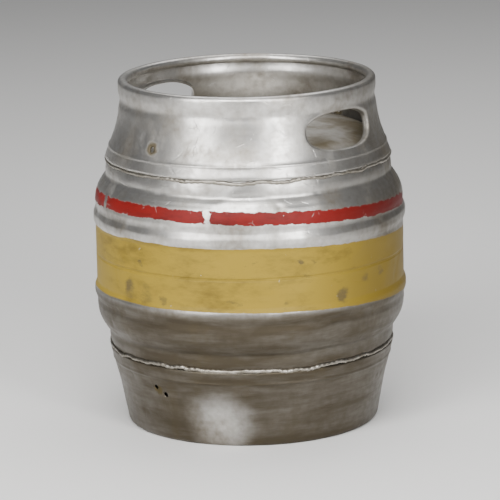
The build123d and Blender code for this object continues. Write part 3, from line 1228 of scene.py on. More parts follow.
@dataclass(frozen=True)
class PlainFinish:
    """A turned, moulded or drawn finish with a grain of its own.

    The eye gets one base colour broken by a fine mottle in colour, gloss and relief.
    """

    name: str
    light: str
    dark: str
    metallic: float = 0.0
    smooth: float = 0.3
    rough: float = 0.5
    grain: float = 1.5
    stretch: tuple[float, float, float] = (1.0, 1.0, 1.0)
    relief: float = 0.03

    def build(self) -> Finish:
        """Makes the material.

        Returns:
            The finished material.
        """
        material = bpy.data.materials.new(self.name)
        material.use_nodes = True
        tree = material.node_tree
        shader = tree.nodes["Principled BSDF"]
        shader.inputs["Metallic"].default_value = self.metallic
        place = add_node(tree, "ShaderNodeTexCoord").outputs["Object"]
        grain_at = add_node(tree, "ShaderNodeMapping", None, {"Vector": place, "Scale": self.stretch})
        grain = add_node(
            tree,
            "ShaderNodeTexNoise",
            None,
            {"Vector": grain_at.outputs[0], "Scale": 1 / (self.grain * MM), "Detail": 5.0},
        )
        patch = add_node(tree, "ShaderNodeTexNoise", None, {"Vector": place, "Scale": 90.0, "Detail": 4.0})
        both = add_node(
            tree,
            "ShaderNodeMath",
            {"operation": "MULTIPLY_ADD"},
            {0: grain.outputs[0], 1: 0.5, 2: patch.outputs[0]},
        )
        level = add_node(
            tree, "ShaderNodeMapRange", None, {"Value": both.outputs[0], "From Min": 0.45, "From Max": 1.05}
        )
        colour = add_node(
            tree,
            "ShaderNodeMix",
            {"data_type": "RGBA"},
            {0: level.outputs[0], "A": linear(self.light), "B": linear(self.dark)},
        )
        gloss = add_node(
            tree,
            "ShaderNodeMapRange",
            None,
            {"Value": level.outputs[0], "To Min": self.smooth, "To Max": self.rough},
        )
        bump = add_node(
            tree,
            "ShaderNodeBump",
            None,
            {"Strength": 1.0, "Distance": self.relief * MM, "Height": grain.outputs[0]},
        )
        tree.links.new(colour.outputs["Result"], shader.inputs["Base Color"])
        tree.links.new(gloss.outputs[0], shader.inputs["Roughness"])
        tree.links.new(bump.outputs[0], shader.inputs["Normal"])
        return material


# ---------------------------------------------------------------- shells
@dataclass
class Knocks:
    """How hard a sheet has been knocked about. Sizes are in millimetres."""

    broad_size: float = 75.0
    broad_depth: float = 1.3
    small_size: float = 22.0
    small_depth: float = 0.5
    seed: float = 3.0

    def values(self, centre_height: float, finish: Finish) -> dict:
        """The inputs of the knocks tree for these sizes.

        Args:
            centre_height: Height of the point on the axis that dents go towards, in millimetres.
            finish: The material.

        Returns:
            Input name to value.
        """
        return {
            "Centre Height": centre_height * MM,
            "Broad Scale": 1 / (self.broad_size * MM),
            "Broad Depth": self.broad_depth * MM,
            "Small Scale": 1 / (self.small_size * MM),
            "Small Depth": self.small_depth * MM,
            "Seed": self.seed,
            "Finish": finish,
        }


@dataclass
class Shells:
    """The two deep-drawn halves, each turned from one section and then dented."""

    height: float = 457.0
    belly: float = 202.5
    wall: float = 2.0
    hoop_rise: float = 2.9
    hoop_foot_half: float = 11.5
    hoop_crest_half: float = 4.0
    hoop_height: float = 276.9
    shoulder_step: float = 15.0
    shoulder_height: float = 312.37
    waist_height: float = 332.28
    head_height: float = 381.0
    head_slope: float = 5.8
    crown_break: float = 97.5
    crown_rise: float = 2.0
    neck_hole: float = 32.15
    sump_radius: float = 26.0
    sump_depth: float = 6.0
    seam_gap: float = 2.0
    path_radius: float = 100.0
    segments: int = 480
    step: float = 2.4
    drawing_rings: tuple[tuple[float, float, float], ...] = (
        (292.5, 0.35, 1.6),
        (301.0, 0.25, 1.4),
        (322.0, 0.4, 1.8),
        (330.5, 0.3, 1.4),
    )

    def section(self, lower: bool) -> list[Point]:
        """One half's outer line from the seam to the middle of its head, as radius and height.

        Args:
            lower: Whether the lower half is meant, which ends in the sump.

        Returns:
            Points in millimetres, as if the half stood on top.
        """
        waist = self.belly - self.shoulder_step
        hoop = self.belly + self.hoop_rise
        rise = (waist - self.crown_break) * math.tan(math.radians(self.head_slope))
        crown = self.head_height + rise + self.crown_rise
        corners = [
            (self.belly, (self.height + self.seam_gap) / 2),
            (self.belly, self.hoop_height - self.hoop_foot_half),
            (hoop, self.hoop_height - self.hoop_crest_half),
            (hoop, self.hoop_height + self.hoop_crest_half),
            (self.belly, self.hoop_height + self.hoop_foot_half),
            (self.belly, self.shoulder_height),
            (waist, self.waist_height),
            (waist, self.head_height),
            (self.crown_break, self.head_height + rise),
        ]
        radii = [5.0, 9.0, 9.0, 5.0, 50.0, 6.0, 50.0, 400.0]
        if lower:
            corners += [
                (self.sump_radius + self.sump_depth, crown),
                (self.sump_radius, crown + self.sump_depth),
                (0.0, crown + self.sump_depth),
            ]
            radii += [7.0, 7.0]
        else:
            corners.append((self.neck_hole, crown))
        path = rounded_path(corners, radii, self.step)
        return [(radius - self._ring_at(height, radius), height) for radius, height in path]

    def _ring_at(self, height: float, radius: float) -> float:
        """How far the faint rings left by drawing pull the wall in at a height.

        Args:
            height: The height in millimetres.
            radius: The wall's radius there.

        Returns:
            A depth in millimetres.
        """
        if radius < self.belly - self.shoulder_step - 1:
            return 0.0
        return sum(
            depth * math.exp(-(((height - middle) / width) ** 2))
            for middle, depth, width in self.drawing_rings
        )

    def build(
        self, lower: bool, tree: Tree, knocks_group: Tree, finish: Finish, knocks: Knocks
    ) -> bpy.types.Object:
        """Makes one half.

        Args:
            lower: Whether the lower half is meant.
            tree: The revolve tree.
            knocks_group: The knocks tree.
            finish: The material.
            knocks: How dented the half is.

        Returns:
            The finished piece.
        """
        outer = self.section(lower)
        inner = [(max(radius, 0.0), height) for radius, height in offset_path(outer, -self.wall)]
        if lower:
            inner[-1] = (0.0, inner[-1][1])
        loop = outer + inner[:0:-2] + inner[:1]
        if lower:
            loop = [(radius, self.height - height) for radius, height in loop]
        name = "lower_shell_skin" if lower else "upper_shell_skin"
        piece = turned(name, loop, self.path_radius, self.segments, tree, finish)
        run_tree(piece, knocks_group, knocks.values(self.height / 2, finish))
        settle(piece)
        return piece


def turned(
    name: str, loop: Sequence[Point], path_radius: float, segments: int, tree: Tree, finish: Finish
) -> bpy.types.Object:
    """Turns a closed half section about the keg's axis.

    Args:
        name: The piece's name.
        loop: The closed section, as radius and height in millimetres.
        path_radius: Radius of the ring that carries the section.
        segments: Steps round the ring.
        tree: The revolve tree.
        finish: The material.

    Returns:
        The turned piece, as a plain mesh.
    """
    curve = bpy.data.curves.new(f"{name}_section", "CURVE")
    curve.dimensions = "3D"
    spline = curve.splines.new("POLY")
    spline.points.add(len(loop) - 1)
    for point, (radius, height) in zip(spline.points, loop):
        point.co = ((radius - path_radius) * MM, -height * MM, 0.0, 1.0)
    spline.use_cyclic_u = True
    carrier = bpy.data.objects.new(f"{name}_carrier", curve)
    bpy.context.collection.objects.link(carrier)
    run_tree(carrier, tree, {"Path Radius": path_radius * MM, "Segments": segments, "Finish": finish})
    graph = bpy.context.evaluated_depsgraph_get()
    mesh = bpy.data.meshes.new_from_object(carrier.evaluated_get(graph), depsgraph=graph)
    bpy.data.objects.remove(carrier)
    mend(mesh)
    return finish_object(name, mesh, finish)


def mend(mesh: bpy.types.Mesh, gap: float = 0.01) -> None:
    """Merges a closed mesh's doubles and turns its faces outwards.

    Args:
        mesh: The mesh, changed in place.
        gap: The distance in millimetres within which points are one.
    """
    work = bmesh.new()
    work.from_mesh(mesh)
    bmesh.ops.remove_doubles(work, verts=work.verts, dist=gap * MM)
    bmesh.ops.dissolve_degenerate(work, edges=work.edges, dist=gap * MM / 10)
    bmesh.ops.recalc_face_normals(work, faces=work.faces)
    work.to_mesh(mesh)
    work.free()


# ---------------------------------------------------------------- rolled rings
@dataclass
class Hole:
    """A hole through a ring's wall, centred at an azimuth in degrees and a height in millimetres."""

    azimuth: float
    height: float
    length: float
    tall: float
    lip: float = 0.0
    roll: float = 0.0
    fullness: float = 2.0

    def outline(self, spacing: float) -> list[Point]:
        """The hole's edge, grown by its roll, as offsets across and up from its centre.

        Args:
            spacing: The distance between points.

        Returns:
            Points anticlockwise round an oval as square as its fullness says.
        """
        half_length, half_height = self.length / 2 + self.roll, self.tall / 2 + self.roll
        dense = []
        for index in range(720):
            angle = math.tau * index / 720
            cosine, sine = math.cos(angle), math.sin(angle)
            across = math.copysign(abs(cosine) ** (2 / self.fullness), cosine) * half_length
            dense.append((across, math.copysign(abs(sine) ** (2 / self.fullness), sine) * half_height))
        runs = [0.0]
        for before, after in zip(dense, dense[1:] + dense[:1]):
            runs.append(runs[-1] + math.dist(before, after))
        count = max(16, math.ceil(runs[-1] / spacing))
        outline = []
        place = 0
        for index in range(count):
            target = runs[-1] * index / count
            while runs[place + 1] < target:
                place += 1
            share = (target - runs[place]) / (runs[place + 1] - runs[place])
            start, end = dense[place], dense[(place + 1) % 720]
            outline.append((start[0] + (end[0] - start[0]) * share, start[1] + (end[1] - start[1]) * share))
        return outline


@dataclass
class RolledRing:
    """A ring of sheet with a curl along one edge and holes through its wall."""

    name: str
    wall_path: list[Point]
    curl_radius: float
    curl_sweep: float
    wall: float
    limit: tuple[float, float]
    holes: list[Hole] = field(default_factory=list)
    columns: int = 420
    row_step: float = 2.6
    curl_step: float = 1.4
    seam: float = -0.625
    line_height: float = 0.0

    def build(self, finish: Finish, knocks_group: Tree, knocks: Knocks, centre: float) -> bpy.types.Object:
        """Makes the ring.

        Args:
            finish: The material.
            knocks_group: The knocks tree.
            knocks: How dented the ring is.
            centre: Height of the point that dents go towards, in millimetres.

        Returns:
            The finished piece.
        """
        work = bmesh.new()
        self._run = [0.0]
        for before, after in zip(self.wall_path, self.wall_path[1:]):
            self._run.append(self._run[-1] + math.dist(before, after))
        self._normals = outward_normals(self.wall_path)
        self._unroll = sum(radius for radius, _ in self.wall_path) / len(self.wall_path)
        contours = [self._contour(hole) for hole in self.holes]
        for side in Side:
            self._skin(work, contours, side)
        for hole, contour in zip(self.holes, contours):
            self._edge_of_hole(work, hole, contour)
        self._curl(work)
        self._plain_edge(work)
        mesh = bpy.data.meshes.new(self.name)
        work.to_mesh(mesh)
        work.free()
        mend(mesh)
        piece = finish_object(self.name, mesh, finish)
        run_tree(piece, knocks_group, knocks.values(centre, finish))
        settle(piece)
        low, high = self.limit
        for vertex in piece.data.vertices:
            vertex.co.z = min(max(vertex.co.z, low * MM), high * MM)
        return piece

    def _section_at(self, run: float) -> tuple[Vector, Vector]:
        """The outer point and its outward normal at a distance along the wall.

        Args:
            run: The distance along the wall in millimetres.

        Returns:
            The point and the normal, as radius and height.
        """
        index = 0
        while index < len(self._run) - 2 and self._run[index + 1] < run:
            index += 1
        share = (run - self._run[index]) / (self._run[index + 1] - self._run[index])
        point = Vector(self.wall_path[index]).lerp(Vector(self.wall_path[index + 1]), share)
        normal = self._normals[index].lerp(self._normals[index + 1], share).normalized()
        return point, normal

    def _run_at(self, height: float) -> float:
        """The distance along the wall at which it reaches a height.

        Args:
            height: The height in millimetres.

        Returns:
            The distance in millimetres.
        """
        for index, (before, after) in enumerate(zip(self.wall_path, self.wall_path[1:])):
            low, high = sorted((before[1], after[1]))
            if low <= height <= high:
                share = (height - before[1]) / (after[1] - before[1])
                return self._run[index] + share * (self._run[index + 1] - self._run[index])
        raise ValueError(f"{self.name} has no wall at {height} mm")

    def _spot(self, across: float, run: float, depth: float = 0.0) -> Vector:
        """The place in metres of an unrolled point, sunk below the outer skin by a depth.

        Args:
            across: How far round the unrolled wall, in millimetres.
            run: How far along it.
            depth: How far below the outer skin.

        Returns:
            The place in the keg's frame.
        """
        point, normal = self._section_at(run)
        angle = across / self._unroll
        radius = (point.x - normal.x * depth) * MM
        return Vector((radius * math.cos(angle), radius * math.sin(angle), (point.y - normal.y * depth) * MM))

    def _contour(self, hole: Hole) -> list[Point]:
        """A hole's outline on the unrolled wall.

        Args:
            hole: The hole.

        Returns:
            Points across and along the wall.
        """
        contour = []
        for across, up in hole.outline(3.0):
            run = self._run_at(hole.height + up)
            radius = self._section_at(run)[0].x
            angle = math.radians(hole.azimuth) + math.asin(across / radius)
            contour.append((angle * self._unroll, run))
        return contour

    def _rows(self) -> list[float]:
        """Distances along the wall of the skin's rows.

        Returns:
            Distances in millimetres, closer at the raised line.
        """
        total = self._run[-1]
        count = math.ceil(total / self.row_step)
        line = self._run_at(self.line_height)
        fine = [line + shift for shift in (-3.2, -2.2, -1.4, -0.7, 0.0, 0.7, 1.4, 2.2, 3.2)]
        even = [total * index / count for index in range(count + 1)]
        return sorted([run for run in even if abs(run - line) > 4.2 or run in (0.0, total)] + fine)

    def _skin(self, work: bmesh.types.BMesh, contours: list[list[Point]], side: Side) -> None:
        """Fills the wall's outer or inner skin round its holes.

        Args:
            work: The mesh, changed in place.
            contours: The holes' outlines on the unrolled wall.
            side: Which skin to fill.
        """
        depth = 0.0 if side is Side.OUTER else self.wall
        width = math.tau * self._unroll
        start = width * self.seam
        step = width / self.columns
        rows = self._rows()
        points: list[Point] = []
        edges: list[tuple[int, int]] = []
        for contour in contours:
            first = len(points)
            points.extend(contour)
            edges.extend((first + index, first + (index + 1) % len(contour)) for index in range(len(contour)))
        bounds = [
            (min(p[0] for p in c) - step, max(p[0] for p in c) + step,
             min(p[1] for p in c) - step, max(p[1] for p in c) + step)
            for c in contours
        ]
        for row_index, run in enumerate(rows):
            border = row_index in (0, len(rows) - 1)
            for column in range(self.columns + 1):
                across = start + column * step
                if not border and self._in_hole(across, run, contours, bounds, step * 0.45):
                    continue
                points.append((across, run))
        result = geometry.delaunay_2d_cdt([Vector(point) for point in points], edges, [], 0, 1e-6)
        verts = [work.verts.new(self._spot(co.x, co.y, depth)) for co in result[0]]
        for face in result[2]:
            middle = sum((result[0][index] for index in face), Vector((0.0, 0.0))) / len(face)
            if self._in_hole(middle.x, middle.y, contours, bounds, 0.0):
                continue
            order = face if side is Side.OUTER else face[::-1]
            work.faces.new([verts[index] for index in order])

    @staticmethod
    def _in_hole(
        across: float, run: float, contours: list[list[Point]], bounds: list[Spot], margin: float
    ) -> bool:
        """Whether an unrolled point lies in a hole or within a margin of its edge.

        Args:
            across: How far round the wall the point is.
            run: How far along it.
            contours: The holes' outlines.
            bounds: Each outline's left, right, low and high limits.
            margin: The distance from an edge that still counts.

        Returns:
            True if it does.
        """
        for contour, (left, right, low, high) in zip(contours, bounds):
            if not (left < across < right and low < run < high):
                continue
            inside = False
            for (x0, y0), (x1, y1) in zip(contour, contour[1:] + contour[:1]):
                if margin:
                    near = geometry.intersect_point_line(
                        Vector((across, run)), Vector((x0, y0)), Vector((x1, y1))
                    )
                    share = min(max(near[1], 0.0), 1.0)
                    spot = Vector((x0, y0)).lerp(Vector((x1, y1)), share)
                    if (spot - Vector((across, run))).length < margin:
                        return True
                if (y0 > run) != (y1 > run) and across < (x1 - x0) * (run - y0) / (y1 - y0) + x0:
                    inside = not inside
            if inside:
                return True
        return False

    def _edge_of_hole(self, work: bmesh.types.BMesh, hole: Hole, contour: list[Point]) -> None:
        """Joins the two skins at a hole, by a rolled lip or a plain punched edge.

        Args:
            work: The mesh, changed in place.
            hole: The hole.
            contour: Its outline on the unrolled wall.
        """
        outer = [self._spot(across, run) for across, run in contour]
        inner = [self._spot(across, run, self.wall) for across, run in contour]
        rings = [outer]
        if hole.lip:
            rings.extend(self._lip_rings(hole, outer, inner))
        rings.append(inner)
        bridge(work, rings, closed=True)

    def _lip_rings(self, hole: Hole, outer: list[Vector], inner: list[Vector]) -> list[list[Vector]]:
        """The rings of a lip that rolls into the hole and runs inwards to a rounded edge.

        Args:
            hole: The hole.
            outer: Its edge on the outer skin.
            inner: Its edge on the inner skin.

        Returns:
            Rings of places, from the outer skin to the inner.
        """
        count = len(outer)
        inward = []
        towards = []
        for index in range(count):
            down = (inner[index] - outer[index]).normalized()
            along = (outer[(index + 1) % count] - outer[index - 1]).normalized()
            towards.append(along.cross(down).normalized())
            inward.append(down)
        middle = sum(outer, Vector()) / count
        if towards[0].dot(middle - outer[0]) < 0:
            towards = [-side for side in towards]
        roll = hole.roll * MM
        thick = self.wall * MM
        turns = 6
        profile = []
        for index in range(1, turns + 1):
            angle = math.pi / 2 * index / turns
            profile.append((roll * math.sin(angle), roll * (1 - math.cos(angle))))
        depth = hole.lip * MM
        profile.append((roll, (roll + depth) / 2))
        profile.append((roll, depth - thick * 0.35))
        profile.append((roll - thick * 0.25, depth))
        profile.append((roll - thick * 0.75, depth))
        profile.append((roll - thick, depth - thick * 0.35))
        inner_roll = roll - thick
        for index in range(turns, 0, -1):
            angle = math.pi / 2 * index / turns
            profile.append((inner_roll * math.sin(angle), roll - inner_roll * math.cos(angle)))
        return [
            [
                place + side * across + down * sunk
                for place, side, down in zip(outer, towards, inward)
            ]
            for across, sunk in profile
        ]

    def _column_angles(self) -> list[float]:
        """The azimuths of the skin's columns.

        Returns:
            Angles in radians.
        """
        width = math.tau * self._unroll
        start = width * self.seam
        return [(start + width * column / self.columns) / self._unroll for column in range(self.columns)]

    def _curl(self, work: bmesh.types.BMesh) -> None:
        """Adds the curl at the wall's last row.

        Args:
            work: The mesh, changed in place.
        """
        end, normal = self._section_at(self._run[-1])
        centre = end - normal * self.curl_radius
        way = 1 if self._rising() else -1
        turns = math.ceil(math.radians(abs(self.curl_sweep)) * self.curl_radius / self.curl_step)
        section = [end]
        for radius, order in (
            (self.curl_radius, range(1, turns + 1)), (self.curl_radius - self.wall, range(turns, -1, -1))
        ):
            for index in order:
                angle = way * math.radians(self.curl_sweep) * index / turns
                section.append(centre + (Matrix.Rotation(angle, 2) @ normal) * radius)
        self._lathe(work, section)

    def _plain_edge(self, work: bmesh.types.BMesh) -> None:
        """Closes the sheet along the wall's first row."""
        outer, normal = self._section_at(0.0)
        self._lathe(work, [outer, outer - normal * self.wall / 2, outer - normal * self.wall])

    def _rising(self) -> bool:
        """Whether the wall runs upwards to its curl."""
        return self.wall_path[-1][1] > self.wall_path[0][1]

    def _lathe(self, work: bmesh.types.BMesh, section: Sequence[Vector]) -> None:
        """Turns an open section and adds it to the mesh.

        Args:
            work: The mesh, changed in place.
            section: Points as radius and height in millimetres.
        """
        rings = [
            [
                Vector((point.x * math.cos(angle), point.x * math.sin(angle), point.y)) * MM
                for angle in self._column_angles()
            ]
            for point in section
        ]
        bridge(work, rings, closed=True)


def bridge(work: bmesh.types.BMesh, rings: Sequence[Sequence[Vector]], closed: bool) -> None:
    """Adds quads between neighbouring rings of the same length.

    Args:
        work: The mesh.
        rings: Lists of places in metres.
        closed: Whether each ring's last point meets its first.
    """
    rows = [[work.verts.new(place) for place in ring] for ring in rings]
    count = len(rows[0])
    for lower, upper in zip(rows, rows[1:]):
        for index in range(count if closed else count - 1):
            after = (index + 1) % count
            work.faces.new((lower[index], lower[after], upper[after], upper[index]))


@dataclass
class Chimes:
    """The top collar and the foot ring, rolled from sheet. All lengths are in millimetres."""

    height: float = 457.0
    wall: float = 2.5
    skirt_radius: float = 186.98
    skirt_height: float = 354.0
    skirt_land: float = 2.5
    rim_radius: float = 168.5
    rim_curl: float = 6.25
    rim_straight: float = 50.0
    flare_round: float = 150.0
    foot_radius: float = 166.0
    foot_curl: float = 7.0
    foot_break: tuple[float, float] = (175.2, 55.0)
    foot_round: float = 300.0
    stand_flat: float = 0.3
    curl_sweep: float = 285.0
    foot_drains: tuple[tuple[float, float], ...] = ((0.0, 72.0), (4.6, 64.0))
    hand_hole: Hole = field(default_factory=lambda: Hole(0.0, 405.0, 115.0, 44.5, 9.0, 4.2, 2.7))
    step_line: tuple[float, float, float] = (16.0, 0.9, 1.7)
    rim_waist: tuple[float, float, float] = (431.0, -1.7, 7.0)

    def collar(self, finish: Finish, knocks_group: Tree, knocks: Knocks) -> bpy.types.Object:
        """Makes the top collar with its rolled rim and two lipped hand holes.

        Args:
            finish: The material.
            knocks_group: The knocks tree.
            knocks: How dented the ring is.

        Returns:
            The finished piece.
        """
        half = self.wall / 2
        curl_height = self.height + self.stand_flat - self.rim_curl
        path = rounded_path(
            [
                (self.skirt_radius - half, self.skirt_height),
                (self.skirt_radius - half, self.skirt_height + self.skirt_land),
                (self.rim_radius - half, self.height - self.rim_straight),
                (self.rim_radius - half, curl_height),
            ],
            [4.0, self.flare_round],
            1.0,
        )
        hand = self.hand_hole
        holes = [
            Hole(azimuth, hand.height, hand.length, hand.tall, hand.lip, hand.roll, hand.fullness)
            for azimuth in (0.0, -180.0)
        ]
        holes += [Hole(azimuth, 385.0, 8.0, 8.0) for azimuth in (-90.0, 90.0)]
        ring = RolledRing(
            "top_chime_skin",
            self._skin_path(
                path, (self.skirt_height + self.step_line[0], *self.step_line[1:]), self.rim_waist
            ),
            self.rim_curl,
            self.curl_sweep,
            self.wall,
            (self.skirt_height - 5, self.height),
            holes,
            line_height=self.skirt_height + self.step_line[0],
        )
        return ring.build(finish, knocks_group, knocks, self.height)

    def foot(self, finish: Finish, knocks_group: Tree, knocks: Knocks) -> bpy.types.Object:
        """Makes the foot ring with its rolled edge and drain holes.

        Args:
            finish: The material.
            knocks_group: The knocks tree.
            knocks: How dented the ring is.

        Returns:
            The finished piece.
        """
        half = self.wall / 2
        top = self.height - self.skirt_height
        lean = math.atan2(self.foot_break[0] - self.foot_radius, self.foot_break[1] - self.foot_curl)
        end_height = self.foot_curl * (1 - math.sin(lean)) - self.stand_flat
        path = rounded_path(
            [
                (self.skirt_radius - half, top),
                (self.skirt_radius - half, top - self.skirt_land),
                (self.foot_break[0] - half, self.foot_break[1]),
                (self.foot_radius - half, end_height),
            ],
            [4.0, self.foot_round],
            1.0,
        )
        holes = [
            Hole(azimuth + turn, height, 7.0, 7.0)
            for azimuth in (-90.0, 90.0)
            for turn, height in self.foot_drains
        ]
        ring = RolledRing(
            "bottom_chime_skin",
            self._skin_path(path, (top - self.step_line[0], *self.step_line[1:])),
            self.foot_curl,
            self.curl_sweep,
            self.wall,
            (0.0, top + 5),
            holes,
            line_height=top - self.step_line[0],
        )
        return ring.build(finish, knocks_group, knocks, 0.0)

    def _skin_path(self, middle: Sequence[Point], *swells: tuple[float, float, float]) -> list[Point]:
        """The outer skin's line: half a wall out from the middle, with smooth ridges and grooves.

        Args:
            middle: The middle of the sheet, as radius and height.
            swells: The height, rise and width of each ridge or groove.

        Returns:
            Points as radius and height.
        """
        path = []
        for (radius, height), normal in zip(middle, outward_normals(middle)):
            rises = (rise * math.exp(-(((height - at) / width) ** 2)) for at, rise, width in swells)
            out = self.wall / 2 + sum(rises)
            path.append((radius + normal.x * out, height + normal.y * out))
        return path


# ---------------------------------------------------------------- welds
@dataclass
class Weld:
    """A run of weld bead round the keg, with its place and size in millimetres."""

    name: str
    node: str
    radius: float
    height: float
    bead: float
    flatness: float
    ripples: int
    wander: float
    seed: float

    def build(self, tree: Tree, finish: Finish) -> bpy.types.Object:
        """Makes the bead.

        Args:
            tree: The weld bead tree.
            finish: The material.

        Returns:
            The finished piece.
        """
        mesh = bpy.data.meshes.new(self.name)
        mesh.from_pydata([(0.0, 0.0, 0.0)], [], [])
        piece = finish_object(self.name, mesh, finish)
        run_tree(
            piece,
            tree,
            {
                "Ring Radius": self.radius * MM,
                "Height": self.height * MM,
                "Bead Radius": self.bead * MM,
                "Flatness": self.flatness,
                "Ripples": self.ripples,
                "Wander": self.wander * MM,
                "Seed": self.seed,
                "Finish": finish,
            },
        )
        settle(piece)
        mend(piece.data, 0.005)
        return piece


# ---------------------------------------------------------------- label
@dataclass
class HeadLabel:
    """What is left of a paper label stuck on the head: torn edges that lift, and faded marks."""

    centre_radius: float = 118.0
    length: float = 92.0
    width: float = 44.0
    turn: float = 186.0
    thickness: float = 0.25
    gap: float = 0.12
    tear: float = 5.0
    lift: float = 2.2
    grid: float = 2.2
    head_height: float = 381.0
    waist: float = 187.5
    slope: float = 5.8

    def build(self, finish: Finish) -> bpy.types.Object:
        """Makes the label.

        Args:
            finish: The paper.

        Returns:
            The finished piece, with a UV map that spans the whole label.
        """
        outline = self._outline()
        count = len(outline)
        edges = [(index, (index + 1) % count) for index in range(count)]
        points = list(outline)
        for row in range(-12, 13):
            for column in range(-24, 25):
                spot = (column * self.grid, row * self.grid)
                if self._depth_inside(spot, outline) > self.grid * 0.5:
                    points.append(spot)
        result = geometry.delaunay_2d_cdt([Vector(point) for point in points], edges, [], 1, 1e-6)
        mesh = bpy.data.meshes.new("label_paper")
        places = [self._place(co.x, co.y, self._depth_inside((co.x, co.y), outline)) for co in result[0]]
        mesh.from_pydata(places, [], result[2])
        layer = mesh.uv_layers.new(name="label")
        for loop in mesh.loops:
            co = result[0][loop.vertex_index]
            layer.data[loop.index].uv = (co.x / self.length + 0.5, co.y / self.width + 0.5)
        if mesh.polygons[0].normal.z < 0:
            mesh.flip_normals()
        piece = finish_object("label_paper", mesh, finish)
        solid = piece.modifiers.new("thickness", "SOLIDIFY")
        solid.thickness = self.thickness * MM
        solid.offset = 1.0
        settle(piece)
        return piece

    def _outline(self) -> list[Point]:
        """The torn edge: a rounded rectangle pulled in by uneven bites.

        Returns:
            Points anticlockwise, in millimetres.
        """
        half_length, half_width = self.length / 2, self.width / 2
        outline = []
        steps = 150
        for index in range(steps):
            angle = math.tau * index / steps
            cosine, sine = math.cos(angle), math.sin(angle)
            reach = min(half_length / max(abs(cosine), 1e-6), half_width / max(abs(sine), 1e-6))
            coarse = noise.noise(Vector((cosine * 2.1, sine * 2.1, 7.0)))
            fine = noise.noise(Vector((cosine * 11.0, sine * 11.0, 3.0)))
            bite = self.tear * (1.1 + 1.6 * coarse) + 1.6 * fine
            outline.append((cosine * (reach - max(bite, 0.4)), sine * (reach - max(bite, 0.4))))
        return outline

    @staticmethod
    def _depth_inside(spot: Point, outline: Sequence[Point]) -> float:
        """How far a point lies inside the outline, or a negative number outside it.

        Args:
            spot: The point.
            outline: The torn edge.

        Returns:
            The distance in millimetres.
        """
        x, y = spot
        inside = False
        nearest = math.inf
        for (x0, y0), (x1, y1) in zip(outline, list(outline[1:]) + [outline[0]]):
            run = Vector((x1 - x0, y1 - y0))
            share = min(max(Vector((x - x0, y - y0)).dot(run) / run.length_squared, 0.0), 1.0)
            nearest = min(nearest, math.dist((x, y), (x0 + run.x * share, y0 + run.y * share)))
            if (y0 > y) != (y1 > y) and x < (x1 - x0) * (y - y0) / (y1 - y0) + x0:
                inside = not inside
        return nearest if inside else -nearest

    def _place(self, across: float, out: float, inside: float) -> Vector:
        """Where a point of the flat label lies on the sloping head, lifted near its torn edge.

        Args:
            across: The point's distance along the label.
            out: Its distance across the label.
            inside: How far it is inside the torn edge.

        Returns:
            The place in metres.
        """
        radius = self.centre_radius + out
        angle = math.radians(self.turn) + across / self.centre_radius
        surface = self.head_height + (self.waist - radius) * math.tan(math.radians(self.slope))
        curl = max(0.0, 1 - max(inside, 0.0) / 7.0) ** 2
        wave = 0.5 + noise.noise(Vector((across / 14, out / 14, 1.0)))
        height = surface + self.gap + self.lift * curl * max(wave, 0.0)
        return Vector((radius * math.cos(angle), radius * math.sin(angle), height)) * MM


